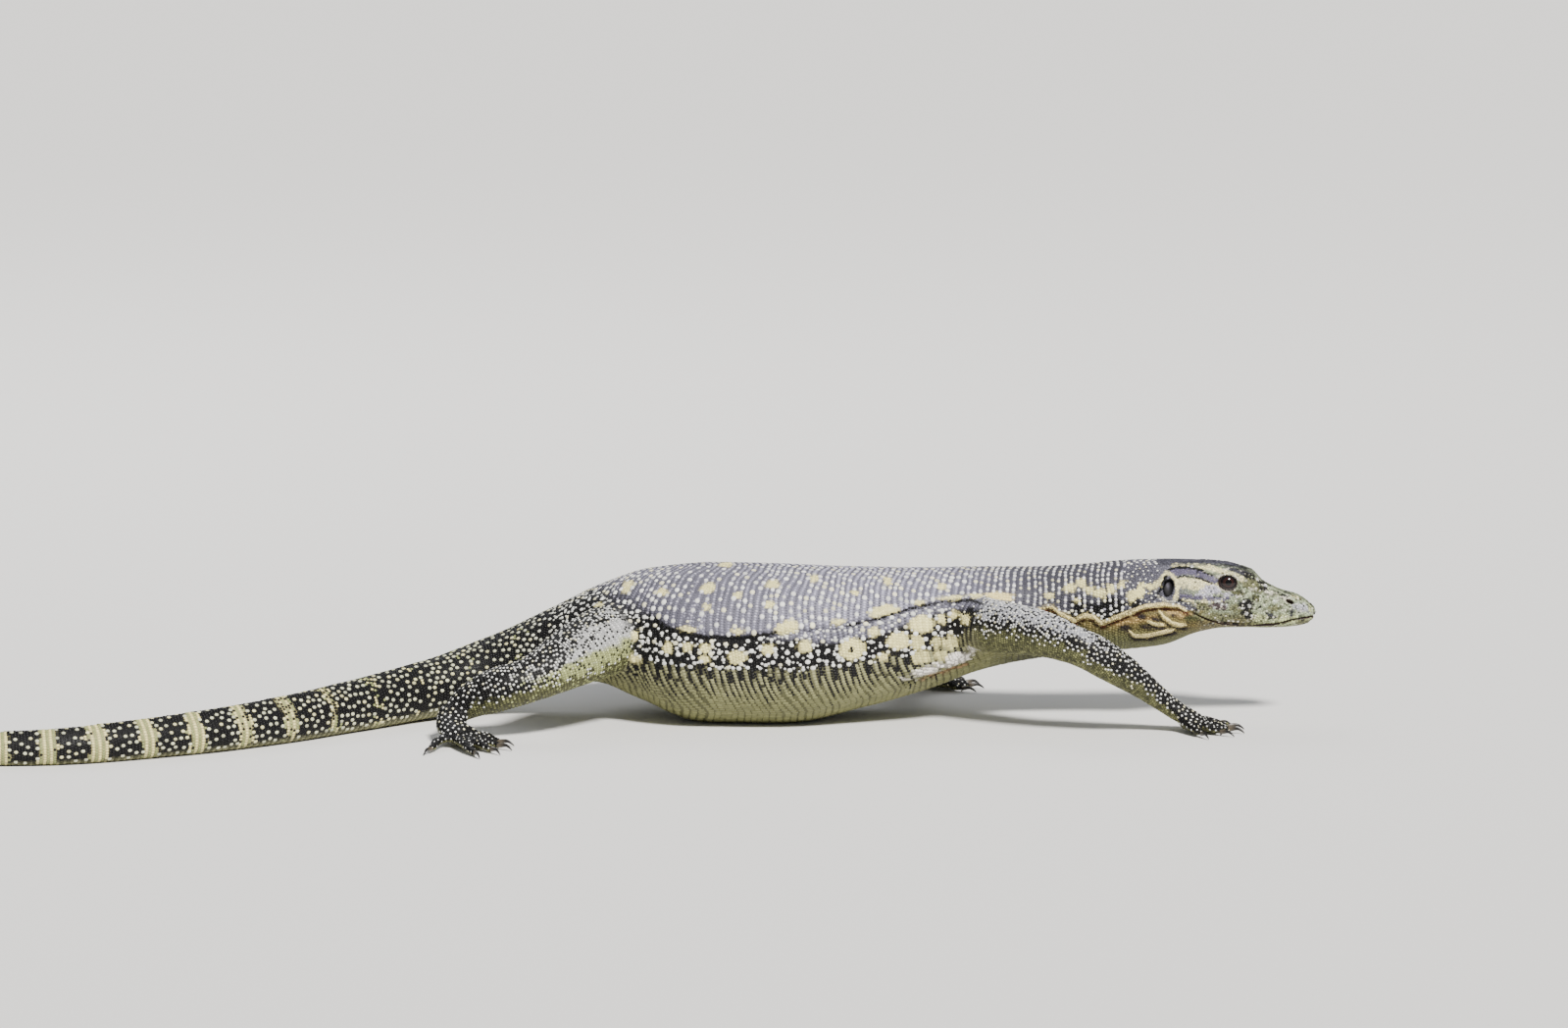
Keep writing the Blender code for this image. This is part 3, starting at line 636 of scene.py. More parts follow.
def makeSkinMesh():
    raw = addObject("skin", joinedFlesh())
    remesh = raw.modifiers.new("join", "REMESH")
    remesh.mode = "VOXEL"
    remesh.voxel_size = skinSettings["voxel"]
    mesh = plainMesh(raw)
    bpy.data.objects.remove(raw)
    keepLargestShell(mesh)
    points = meshArrays(mesh)[0]
    depth = bodyPlace(points)["depth"]
    # limbs lose their facets, the joins to the trunk become soft, the toes stay crisp
    limb = clamp((depth - 1.03) / 0.10)
    paw = clamp((0.026 - points[:, 2]) / 0.008) * limb
    weight = np.clip(0.25 + 0.75 * limb - 0.90 * paw, 0.10, 1)
    headShare = clamp((points[:, 0] - 0.27) / 0.02)
    weight = weight * (1 - 0.8 * headShare)
    setPoints(mesh, smoothed(points, edgeArray(mesh), weight, skinSettings["firstRounds"]))
    for chooses in (fineHead, finePaws, finestHead, finestLids):
        refine(mesh, chooses)
    points = meshArrays(mesh)[0]
    fine = clamp((points[:, 0] - 0.262) / 0.01) + (points[:, 2] < 0.03) * 0.2
    fine = np.clip(fine, 0.1, 1) * 0.6
    setPoints(mesh, smoothed(points, edgeArray(mesh), fine, skinSettings["lastRounds"]))
    points = sculpt(*meshArrays(mesh))
    points[:, 2] = np.maximum(points[:, 2], skinSettings["floorClear"])
    setPoints(mesh, points)
    shadeSmooth(mesh)
    print("skin:", sum(len(f.vertices) - 2 for f in mesh.polygons), "triangles")
    return mesh


skinMesh = makeSkinMesh()
skin = addObject("skin", skinMesh)
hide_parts(*fleshNodes, *limbNodes)
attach(skin, "root")


def tone(red, green, blue):
    # colours are given as the eye sees them and kept as linear light
    seen = np.array([red, green, blue]) / 255
    return np.where(seen < 0.04045, seen / 12.92, ((seen + 0.055) / 1.055) ** 2.4)


tones = {
    # slate is the back's near-black lightened to grey-lavender by painted sheen
    "slate": tone(150, 148, 166), "slateDark": tone(58, 57, 68), "night": tone(9, 8, 9),
    "white": tone(250, 250, 244), "cream": tone(255, 244, 172), "amber": tone(255, 216, 144),
    "olive": tone(130, 131, 86), "moss": tone(92, 94, 54), "belly": tone(160, 158, 118),
    "ochre": tone(164, 134, 70), "rust": tone(150, 84, 48), "green": tone(178, 190, 148),
    "violet": tone(104, 97, 126), "lilac": tone(206, 202, 218), "brown": tone(92, 76, 72),
    "bone": tone(236, 230, 204), "mist": tone(192, 193, 200),
    "maroon": tone(62, 28, 26), "lime": tone(200, 208, 140), "plum": tone(78, 62, 66),
}


def wave(points, size, seed):
    # a smooth seeded wobble between -1 and 1, with features of the given size
    draw = np.random.default_rng(seed)
    total = np.zeros(len(points))
    for octave in range(5):
        way = draw.normal(size=3)
        way /= np.linalg.norm(way)
        total += np.sin(points @ way * (math.tau / size) * (1 + 0.37 * octave) + draw.uniform(0, math.tau))
    return total / 3.2


def softEdge(gap, width):
    # a column that rises from 0 to 1 over an edge
    return clamp(0.5 + gap / width)[:, None]


def cover(tint, colour, gap, soft):
    # lays a colour where the gap is below 0, and says how much of it
    share = softEdge(-gap, soft)
    tint[:] = mix(tint, colour, share)
    return share[:, 0]


def paintPatch(tint, spots, patch, colour, soft=1.2, wobble=0.0):
    # fills a tilted oval: centre, half sizes, tilt in degrees
    oval = {"at": patch[0:2], "half": patch[2:4], "tilt": patch[4]}
    reach = ovalReach(spots[:, 0], spots[:, 1], oval)
    return cover(tint, colour, (reach - 1) * min(oval["half"]) + wobble, soft)


def paintStroke(tint, spots, path, half, colour, soft=1.2, wobble=0.0):
    # paints a band of the given half width along a path
    return cover(tint, colour, segmentDistance(spots, path)[0] - half + wobble, soft)


slateBand = np.array([
    (640, 0), (770, 0), (800, 8), (840, 15), (900, 17), (950, 13), (1000, 8), (1040, 2),
], float)
bellyEdge = np.array([
    (480, 712), (520, 694), (560, 672), (600, 652), (620, 664), (660, 676), (700, 679), (760, 683),
    (800, 683), (860, 678), (900, 672), (940, 668), (965, 655), (990, 640), (1040, 634), (1080, 640),
    (1160, 646),
], float)

creamSpots = [
    (703, 641, 9.5, 3.6, 6), (753, 643, 6.5, 2.6, 0), (803, 639, 12.5, 6.2, -6), (852, 634, 8, 3, -8),
    (901, 622, 16, 5.2, -8), (938, 614, 5, 2.6, -12), (969, 609, 17, 2.2, -5), (993, 607, 7, 2.6, 0),
    (722, 598, 7, 5.2, -12), (640, 598, 5, 6.5, 28), (676, 603, 4.2, 4, 0), (788, 596, 6.5, 4, 8),
    (741, 575, 6.5, 3.4, 0), (785, 616, 4, 4, 0), (753, 606, 4, 3.6, 0), (721, 619, 3.6, 3.4, 0),
    (612, 618, 5, 4, 30), (662, 577, 5, 3, 0), (830, 590, 3.6, 4.6, 0), (905, 592, 3.6, 4.2, 0),
    (960, 598, 4, 3.6, 0), (872, 604, 4, 3.4, 0),
]
rosettes = [
    (681, 660, 4.5, 6.5, 0), (701, 659, 5, 4, 0), (719, 660, 4.5, 5.5, 0), (719, 671, 4.5, 3.6, 0),
    (753, 669, 9.5, 7, 0), (784, 661, 6.5, 6, 0), (820, 658, 6.5, 6, 0), (646, 648, 5.5, 5, 0),
    (645, 670, 10, 4.2, 28), (630, 655, 6, 4.5, 40), (869, 661, 13, 11, -6), (915, 653, 12, 9, 0),
    (940, 636, 13, 9, 0), (935, 654, 7, 8, 0), (961, 630, 5.5, 5.2, 0), (973, 627, 4.6, 5.5, 0),
    (984, 631, 5, 4.6, 0), (954, 655, 5, 6.5, 0), (969, 654, 9, 7, 0), (939, 669, 10, 7, 0),
    (958, 668, 8, 6, 0), (891, 644, 5, 4.4, 0), (900, 669, 6, 4, 0), (1003, 646, 6, 5, 30),
    (1000, 628, 5, 3, 0),
]
neckMottles = [
    (1091, 599, 6, 3.4, 12), (1103, 596, 4.6, 4.6, 0), (1111, 601, 5, 3.2, 0), (1122, 604, 7, 4, 0),
    (1131, 600, 4.6, 4.4, 0), (1153, 607, 4.6, 6, 12), (1163, 602, 4.4, 6.5, 0), (1172, 600, 4, 5, 0),
    (1144, 596, 3.4, 3, 0), (1098, 612, 2.4, 2.4, 0), (1180, 594, 6, 3, -30), (1070, 608, 3, 2.6, 0),
]
throatDark = [
    (1163, 628, 5, 3.4, 10), (1177, 631, 3.5, 2.2, 0), (1148, 640, 6, 3, 20), (1196, 628, 3, 2.4, 0),
    (1168, 640, 5, 2.0, 0),
]
neckDark = [(1100, 617, 8, 10, 0), (1133, 618, 15, 9, 0), (1159, 616, 9, 5.5, 0), (1115, 621, 9, 6, 0)]


def bodyTint(points, u, v, minor):
    # ground colours of neck, trunk and tail root, before the dots
    spots = np.column_stack([u, v])
    crosswise = np.column_stack([u, u * 0, u * 0])
    darkRow = minor[:, None]
    rough = wave(points, 0.011, 3) * 1.6 + wave(points, 0.005, 4) * 0.8
    line, band, edge = (np.interp(u, path[:, 0], path[:, 1]) for path in (sideLine, slateBand, bellyEdge))
    below = v - line
    slate = tones["slate"] * (1 + 0.10 * wave(points, 0.03, 5))[:, None]
    # painted sheen: the back's lighter rows are brightened, most of all on the middle of the back
    paintedSheen = (clamp((u - 720) / 120) * clamp((1050 - u) / 100))[:, None]
    slate = np.where(darkRow, slate * 0.42, slate * (0.88 + 0.62 * paintedSheen))
    front = clamp((u - 960) / 110)[:, None]
    slate = slate * (1 - 0.58 * front)
    rear = clamp((680 - u + (v - 600) * 0.9 + 4 * rough) / 120)[:, None]
    slate = mix(slate, tones["night"] * 1.6, rear)
    # black flank with a slate band above it in front
    flank = np.where(darkRow, tones["night"], tones["night"] * 1.6)
    blur = 30 * clamp((680 - u) / 60)
    tint = mix(slate, slate * 0.66, softEdge(below + rough, 2.5 + blur))
    tint = mix(tint, flank, softEdge(below - band + rough, 4 + blur))
    # belly with black pinstripes that run down and taper out, and painted shadow making it dark olive lower
    # down
    paintedBellyShadow = clamp((v - edge) / 36)[:, None]
    belly = tones["belly"] * (0.88 + 0.12 * wave(points, 0.02, 6))[:, None]
    belly = belly * (1 - 0.8 * paintedBellyShadow) + tones["olive"] * 0.72 * paintedBellyShadow
    reachDown = 30 + 9 * wave(crosswise, 19.0, 7) + 5 * np.sin(u * 0.95)
    stripe = clamp((reachDown - (v - edge)) / 10) * clamp((1010 - u) / 30) * clamp((u - 610) / 20)
    belly = np.where(darkRow, mix(belly * 0.78, tones["night"] * 1.2, stripe[:, None]), belly)
    # black tongues of the flank that reach into the belly
    tongue = np.sin(u * 0.60 + 2.4 * wave(crosswise, 43.0, 9))
    tongue = clamp((4 + 16 * tongue - (v - edge)) / 5) * (tongue > 0.15) * (u < 960) * (u > 600)
    belly = mix(belly, tones["night"] * 1.3, tongue[:, None])
    inBelly = softEdge(v - edge + 2 * rough, 5)
    tint = mix(tint, belly, inBelly)
    # rosettes and cream spots, cut through by darker rows
    creamy = np.zeros(len(points))
    cream = np.where(darkRow, tones["cream"] * 0.92, tones["cream"])
    for spot in creamSpots:
        creamy = np.maximum(creamy, paintPatch(tint, spots, spot, cream, 1.5, rough * 0.7))
    for spot in rosettes:
        dull = np.clip((spot[0] - 920) / 60, 0, 0.45) * clamp((spot[1] - 640) / 20)
        shade = mix(cream, np.where(darkRow, tones["night"], tones["olive"]), dull)
        creamy = np.maximum(creamy, paintPatch(tint, spots, spot, shade, 1.5, rough * 0.7))
    paintPatch(tint, spots, (868, 662, 2.6, 2.8, 0), tones["night"], 1.0)
    gold = tones["amber"] * 0.30 + tones["cream"] * 0.70
    creamy = np.maximum(creamy, paintPatch(tint, spots, (1020, 607.5, 14, 4.6, 6), gold, 1.5, rough * 0.8))
    # black gaps between the upright blotches behind the arm
    for gap in (951, 963.5, 975, 987.5):
        upright = [(gap, 622), (gap + 1.5, 636), (gap + 0.5, 651)]
        paintStroke(tint, spots, upright, 1.1, tones["night"], 1.2, rough * 0.4)
    # black crease under the cream row: painted shade in the flank's fold
    paintStroke(tint, spots, sideLine[3:9] + (0, 0.8), 2.2, tones["night"] * 0.6, 1.2, rough * 0.3)
    paintStroke(tint, spots, sideLine[10:16] + (0, 1.6), 1.4, tones["night"] * 0.6, 1.2, rough * 0.2)
    # painted highlight of sunlight on the fold above the armpit, warmer along its lower edge
    pale = np.zeros(len(points))
    for spot in ((976, 670.5, 16, 6.0, -24), (952, 680, 15, 4.2, -19), (934, 686.5, 9, 2.4, -15)):
        pale = np.maximum(pale, paintPatch(tint, spots, spot, tone(255, 248, 238), 3.0, rough * 1.4))
    warm = tones["rust"] * 0.6 + tones["belly"] * 0.4
    paintStroke(tint, spots, [(940, 691), (957, 686.5), (975, 679.5), (988, 675)], 1.1, warm, 2.0, rough)
    # neck and throat
    foldAt = np.interp(u, *np.array(foldLine).T)
    under = softEdge(v - foldAt + rough * 0.3, 2.0) * (u > 1010)[:, None]
    under = under * clamp((u - 1020 - (640 - v) * 0.8 + 6 * rough) / 45)[:, None]
    throat = (tones["ochre"] * 0.45 + tones["olive"] * 0.50) * (0.70 + 0.34 * wave(points, 0.011, 8))[:, None]
    throat = mix(throat, tones["olive"] * 0.80, clamp((v - 638) / 12)[:, None])
    throat = throat * (1 - 0.45 * clamp((1125 - u) / 50))[:, None]
    tint = mix(tint, np.where(darkRow, throat * 0.75, throat), under)
    shown = tint.copy()
    for spot in neckDark:
        paintPatch(shown, spots, spot, tones["night"], 3.0, rough)
    for spot in neckMottles:
        mottled = paintPatch(shown, spots, spot, cream, 1.5, rough * 1.3)
        creamy = np.maximum(creamy, mottled * (1 - under[:, 0]))
    tint = mix(shown, tint, under)
    amber, ochre = tones["amber"], tones["ochre"]
    paintStroke(tint, spots, [(1192, 623), (1204, 627), (1213, 628)], 2.8, amber * 0.55 + ochre * 0.3, 4)
    paintStroke(tint, spots, [(1140, 636), (1158, 632), (1176, 630)], 2.2, amber * 0.40 + ochre * 0.4, 4)
    paintStroke(tint, spots, [(1210, 630), (1222, 630)], 2.6, tones["moss"] * 0.7, 4, rough)
    for spot in throatDark:
        paintPatch(tint, spots, spot, tones["brown"] * 0.25, 3, rough)
    paintPatch(tint, spots, (1094, 643, 12, 6, 25), tones["moss"] * 0.45, 6, rough)
    # pale ridges, each with a dark brown edge beneath; on the crescents the pale is partly painted highlight
    # and the dark edge is painted shadow
    for path in (foldLine, *crescents):
        shade = tones["rust"] * 0.35 if path is foldLine else tones["brown"] * 0.22
        paintStroke(tint, spots, np.array(path) + (0.5, 3.4), 1.6, shade, 2.0, rough * 0.5)
    for path, half in zip((foldLine, *crescents), (2.0, 2.1, 1.8, 1.5)):
        ends = segmentDistance(spots, path)[1]
        thin = 1.2 * clamp(1 - np.minimum(ends, 1 - ends) / 0.15)
        pale = np.maximum(pale, paintStroke(tint, spots, path, half, gold, 1.2, rough * 0.4 + thin))
    # how close together the white dots stand, 0 for none
    spacing = np.where(below < 0, 0.0056, 0.0042)
    spacing = np.where((below < 0) & (u > 780), 0.0047, spacing)
    spacing = np.where((below > 0) & (below < band), 0.0056, spacing)
    spacing = np.where(u > 1000, 0.0031, spacing)
    spacing = np.where((below < 0) & (u < 690), 0.0043, spacing)
    bare = (np.abs(below - 0.8) < 2.4) & (((u > 676) & (u < 800)) | ((u > 880) & (u < 1010)))
    bare |= (inBelly[:, 0] > 0.4) | (under[:, 0] > 0.3) | (creamy > 0.3) | (pale > 0.3)
    return tint, np.where(bare, 0, spacing), inBelly[:, 0], stripe, creamy


# patches and strokes of the head, from back to front and top to bottom
headPatches = [
    ("slateDark", (1225, 570, 60, 7, 4), 4), ("slateDark", (1262, 579, 20, 6, 18), 4),
    ("green", (1305, 614, 42, 22, 10), 8), ("cream", (1226, 595, 21, 7, -4), 4),
    ("lilac", (1231, 603, 13, 5.5, -10), 4), ("violet", (1209, 608.5, 7, 2.2, 4), 4),
    ("olive", (1226, 619, 12, 5, 8), 4), ("cream", (1233, 612, 12, 2.4, 4), 2),
    ("plum", (1243, 617.5, 11, 4.4, 6), 3), ("olive", (1260, 620, 6, 5, 0), 4),
    # the long olive band at (1240, 629) is painted shade on the lower jaw's side
    ("olive", (1240, 629, 28, 4.5, 4), 5), ("green", (1262, 608, 12, 7, 0), 6),
    ("olive", (1275, 595, 10, 7, 25), 6), ("night", (1271, 616, 8, 6.5, 20), 3),
    ("night", (1272, 626, 7.5, 5.5, 10), 3), ("lime", (1286, 630.5, 8.5, 4.5, 10), 3),
    ("lime", (1310, 631, 14, 5, 0), 4), ("green", (1288, 617, 10, 9, 0), 5),
    ("mist", (1328, 620, 10, 4.5, 10), 5), ("lime", (1337, 619, 3.5, 3.5, 0), 3),
    ("cream", (1321, 605, 8, 3.6, 24), 3), ("bone", (1311, 610, 6, 3.0, 24), 2),
    ("night", (1273, 587, 6, 3.2, 25), 2), ("night", (1286, 594.5, 3.6, 3.2, 0), 2),
    ("night", (1301, 599, 5, 2.6, 25), 2), ("slateDark", (1309, 604, 5, 2.4, 30), 2),
    ("slateDark", (1316.5, 625, 3, 4.4, 20), 3), ("olive", (1296, 609, 7, 2.4, -20), 3),
    ("moss", (1283, 603, 4, 2.0, -25), 2), ("night", (1284.5, 618.7, 1.8, 1.6, 0), 1.4),
    ("night", (1311.5, 633, 1.4, 1.3, 0), 1.4), ("slateDark", (1296, 627, 3, 5, -25), 2.5),
    ("slateDark", (1262, 613, 3.2, 1.4, -25), 2), ("bone", (1263, 606, 5, 1.8, -12), 2),
    ("lilac", (1250, 606.5, 8, 1.6, 4), 2), ("olive", (1330, 634, 9, 4, -20), 4),
    ("moss", (1284, 600, 7, 3.2, -20), 4), ("moss", (1262, 604, 6, 2.2, 10), 3),
    ("olive", (1299, 621, 7, 4, 0), 4), ("moss", (1280, 610, 4, 4, 0), 3),
    ("night", (1289, 599, 5, 3.6, 30), 2), ("night", (1305, 603.5, 3.4, 2.0, 20), 2),
    ("green", (1300, 611, 7, 3, 10), 4), ("bone", (1294, 604.5, 3, 1.6, 0), 2),
    ("bone", (1276, 601, 4, 1.6, -20), 2),
]
headStrokes = [
    ("night", [(1203, 567.5), (1221, 569.5), (1239, 573), (1255, 576), (1263, 579.5)], 1.2, 1.6),
    ("violet", [(1195, 584), (1205, 581.5), (1218, 583), (1230, 587.5), (1238, 591.5)], 4.0, 1.6),
    ("cream", [(1199, 592), (1207, 591), (1220, 594)], 2.6, 3.0),
    ("night", [(1197, 589), (1208, 587), (1222, 589.5), (1234, 594)], 0.8, 1.2),
    ("cream", [(1196, 577), (1206, 574.6), (1218, 575), (1232, 577.6), (1245, 582), (1257, 586),
               (1266, 590)], 2.3, 1.6),
    ("cream", [(1222, 575.5), (1234, 579)], 3.0, 2.0),
    ("night", [(1192, 581), (1198, 578.2), (1210, 578.4), (1223, 581), (1237, 587)], 1.2, 1.2),
    ("night", [(1262, 577), (1274, 582), (1284, 589)], 1.6, 1.6),
    ("cream", [(1277, 578), (1285, 584), (1292, 590)], 1.2, 1.2),
    ("bone", [(1239, 589), (1244, 586.6), (1251, 585.6), (1258, 587.4), (1262, 591)], 1.1, 1.0),
    ("bone", [(1240, 597), (1245, 600.6), (1252, 602.2), (1258, 600.6)], 1.0, 1.2),
    ("violet", [(1203, 607.5), (1218, 609.5), (1236, 610), (1252, 610)], 1.7, 2.0),
    ("night", [(1202, 612.5), (1206, 616), (1212, 619), (1218, 621.4)], 2.2, 1.6),
    ("cream", [(1205, 611), (1214, 612.6), (1219, 615.4)], 0.9, 1.0),
    ("cream", [(1189.5, 583.5), (1194, 586), (1198, 590.5), (1199.8, 598), (1199, 606),
               (1196, 612.5)], 1.8, 1.4),
    ("cream", [(1188, 584), (1182, 592), (1177, 600)], 1.8, 1.4),
    # the black stroke below the ear is painted shade of its opening, running down the fold behind it
    ("night", [(1188, 588), (1183, 601), (1174, 611)], 1.7, 1.0),
    ("bone", [(1181, 608), (1190, 613.4), (1197, 613)], 1.4, 1.4),
    ("brown", [(1243, 634), (1260, 636.4), (1280, 637.6), (1298, 637.6)], 0.7, 1.6),
    ("bone", [(1252, 633), (1262, 633.4)], 0.6, 1.0), ("green", [(1299, 600), (1312, 604.5)], 1.4, 1.6),
]
headDots = [
    (1268, 613), (1274, 617.4), (1270.5, 625.4), (1276, 627.6), (1267, 619.8), (1233, 614), (1239, 612.4),
    (1242, 613.4), (1238, 619), (1245, 616), (1250, 617), (1290.4, 596.8), (1282, 590), (1297, 597.6),
    (1305, 601.4), (1215, 577), (1230, 571.5), (1300, 613),
]
# flecks in front of the ear: tone, size, seed, least value, rise, start in pixels, its fading and strength
headFlecks = [
    ("moss", 0.0052, 15, 0.34, 0.25, 1250, 14, 0.72),
    ("night", 0.0034, 17, 0.62, 0.1, 1205, 10, 0.85),
    # the pale bone flecks are painted highlights
    ("bone", 0.0046, 16, 0.62, 0.2, 1205, 14, 0.7),
]
fleckShade = {"moss": 0.36, "night": 1.6, "bone": 1.0}


def headTint(points, u, v, girth):
    spots = np.column_stack([u, v])
    rough = wave(points, 0.007, 11) * 1.1 + wave(points, 0.0032, 12) * 0.6
    top = clamp((0.15 - girth + 0.02 * rough) / 0.05)[:, None]
    tint = np.tile(tones["green"] * 0.72, (len(points), 1))
    tint = mix(tint, tones["slate"] * 0.5, clamp((1222 - u) / 26)[:, None])
    # lower down: painted shade of dark olive-brown on the jaw, going over to pale lime lips ahead
    ahead = clamp((u - 1262) / 24)[:, None]
    lowTone = mix(tones["ochre"] * 0.30 + tones["olive"] * 0.50, tones["lime"] * 0.62, ahead)
    tint = mix(tint, lowTone, clamp((v - 624) / 6)[:, None])
    bottom = clamp((girth - 0.80) / 0.08)[:, None]
    tint = mix(tint, tones["belly"] * 0.9, bottom)
    side = tint.copy()
    for name, patch, soft in headPatches:
        paintPatch(side, spots, patch, tones[name], soft * 0.4, rough * 1.5)
    for name, path, half, soft in headStrokes:
        paintStroke(side, spots, path, half, tones[name], soft * 0.5, rough * 0.4)
    # dark mottling, and pale flecks painted as highlights, over the snout and cheek
    for name, size, seed, least, rise, start, width, strength in headFlecks:
        share = clamp((wave(points, size, seed) - least) / rise) * clamp((u - start) / width) * strength
        side = mix(side, tones[name] * fleckShade[name], share[:, None])
    for dot in headDots:
        paintPatch(side, spots, (*dot, 1.6, 1.5, 0), tones["white"], 0.8)
    tint = mix(tint, side, (1 - top) * (1 - bottom))
    # the crown: dark slate, paler bars across the snout
    crown = tones["slateDark"] * (1.25 + 0.5 * wave(points, 0.012, 14))[:, None]
    crown = mix(crown, tones["green"] * 0.40 + tones["moss"] * 0.25, clamp((u - 1262) / 26)[:, None])
    bars = clamp(0.5 + 2.4 * (np.sin((u - 1262) / 11.5 * math.tau / 2) + rough * 0.35 - 0.55))
    crown = mix(crown, tones["night"] * 1.5, (0.85 * bars * (u > 1258))[:, None])
    tint = mix(tint, crown, top)
    tint = tint * 0.84 + tint.mean(1)[:, None] * 0.16
    # dark rims of the lids, and painted shade in the nostril, the ear pit and the slit of the mouth
    rim = clamp((1.24 - ovalReach(u, v, eyeSpot)) / 0.12) * (np.abs(girth - 0.5) < 0.42)
    tint = mix(tint, tones["maroon"] * 0.30, rim[:, None])
    tint = mix(tint, tones["maroon"] * 0.6, clamp((1.12 - ovalReach(u, v, nostrilSpot)) / 0.2)[:, None])
    tint = mix(tint, tones["night"] * 0.8, clamp((1.10 - ovalReach(u, v, earSpot)) / 0.15)[:, None])
    slit = clamp((0.00085 - mouthGap(points)[0]) / 0.0002) * (points[:, 0] > mouthLine[-1][0])
    return mix(tint, tones["maroon"] * 0.8, slit[:, None])


def tailTint(points, along, girth, minor, dice):
    # black ground with pale dots; clear pale bands come in towards the tip
    out = along - alongOf["vent"]
    share = out / (lineAlong[-1] - alongOf["vent"])
    wobble = wave(points, 0.016, 21) * 0.0026
    pitch = 0.046 - 0.012 * share
    phase = (out + wobble) / pitch % 1
    half = 0.12 + 0.16 * share
    band = clamp((half - np.abs(phase - 0.5)) / 0.06)
    tint = np.where(minor[:, None], tones["night"], tones["night"] * 1.5)
    pale = np.where(minor[:, None], tones["lime"] * 0.6, tones["cream"] * 0.95)
    strength = (band * np.clip(0.05 + (share - 0.10) * 3.4, 0.12, 1) > dice)[:, None] * 0.92
    tint = mix(tint, pale, strength)
    under = clamp((girth - 0.66) / 0.10)[:, None] * (1 - 0.5 * share[:, None])
    pale = np.where(minor[:, None], tones["olive"] * 0.6, tones["belly"] * 0.85)
    tint = mix(tint, pale, under)
    spacing = np.where((band * share > 0.12) | (under[:, 0] > 0.5), 0, 0.0037 + 0.0014 * share)
    return tint, spacing


def limbTint(points, normals, place, dice):
    # black with close white dots above, dark olive beneath; the thigh's front is silvery to yellow-green
    share, fore, minor = place["share"], place["fore"], place["minor"]
    rough = wave(points, 0.015, 31)
    up = normals[:, 2] + 0.2 * rough
    tint = np.where(minor[:, None], tones["night"], tones["night"] * 1.6)
    # beneath: dark olive, partly the underside's own colour and partly painted shadow
    inner = np.where(fore & (share < 0.5), 0.16, -0.10)
    under = clamp((inner - up) / 0.36)
    olive = tones["olive"] * (0.75 + 0.25 * wave(points, 0.01, 32))[:, None]
    olive = olive * np.select([dice < 0.22, dice > 0.80], [1.5, 0.4], 0.85)[:, None]
    tint = mix(tint, olive, under[:, None])
    # the thigh's pale front, facing forward, is partly its own colour and partly painted light
    pale = np.clip((normals[:, 0] + 0.35 + 0.35 * wave(points, 0.02, 33)) / 1.15, 0, 0.88)
    pale = pale * clamp((0.60 - share) / 0.22) * ~fore * (1 - 0.6 * under)
    # painted highlight: scales that face up turn grey-white
    paintedSunlight = clamp((up - 0.02) / 0.35)[:, None]
    paintedSunlightTone = tones["white"] * 0.55 + tones["mist"] * 0.40
    paleTone = mix(tones["lime"] * 0.9 + tones["cream"] * 0.05, paintedSunlightTone, paintedSunlight)
    rowShade = np.where(minor, 0.74, 1.04)[:, None]  # darker rows between the pale ones
    uneven = 0.86 + 0.10 * wave(points, 0.006, 34) + 0.12 * np.sin(dice * 91)
    paleTone = paleTone * uneven[:, None] * rowShade
    tint = np.where((pale > dice)[:, None], paleTone, tint)
    # painted sheen: scales on top of the foreleg's upper part turn pale grey
    paintedSheen = clamp((up - 0.25) / 0.3) * fore * clamp((0.66 - share) / 0.2) * 0.62
    tint = np.where((paintedSheen > dice)[:, None], tones["mist"] * rowShade, tint)
    spacing = np.where(fore, 0.0022, 0.0027) + 0.0005 * (share > 0.6)
    spacing = np.where((pale > 0.55) | (under > 0.75), 0, spacing)
    return tint, spacing


# where each scale stands
coatSettings = {
    "rowPitch": 0.00225, "aroundPitch": 0.00205, "bellyPitch": 0.0026,
    "tailPitch": (0.0026, 0.0019), "limbPitch": (0.0020, 0.0018),
    "headTop": 0.0021, "headSide": 0.00145, "throat": 0.0014, "paw": 0.0015, "gap": 0.0020,
    "height": 0.00042, "candidates": 220000, "seed": 7,
    "lineRoom": 0.00135,  # room kept round the scales of lips, brow and folds
    "rowRoom": 0.80,  # the same round those in rows, as a share of their size
    "lineGap": 0.0015,  # from these lines to the body's rows
    "limbGap": 0.0017,  # from the body's rows to the limbs' rows
    "ownGap": 0.00125,  # least gap inside a limb's rows
    "denseGap": 0.0011,  # faces this close to a scale seldom get another one
    "landing": 0.0022,  # how far a row may lie from the skin
    "patchWidth": 0.003,  # of each scale on the baked picture
    "floorClear": 0.00005,
}
skinPoints, skinNormals = meshArrays(skinMesh)
skinFaces = [tuple(face.vertices) for face in skinMesh.polygons]
skinTree = BVHTree.FromPolygons([Vector(p) for p in skinPoints], skinFaces)
faceNormals = np.array([skinNormals[list(face)].mean(0) for face in skinFaces])


def placeAndFace(hit):
    # of what a search of the skin finds, the place and the number of its face
    return hit[0], hit[2]


def landOnSkin(points, outward, reach):
    # nearest skin for each point; those buried in a limb or a fold are dropped
    keep, places, lifts = [], [], []
    for k, (point, out) in enumerate(zip(points, outward)):
        place, face = placeAndFace(skinTree.find_nearest(Vector(point), reach))
        if place is None:
            continue
        lift = faceNormals[face]
        if lift @ out < 0.15:
            continue
        keep.append(k)
        places.append(place)
        lifts.append(lift)
    return np.array(keep), np.array(places), unitRows(np.array(lifts))


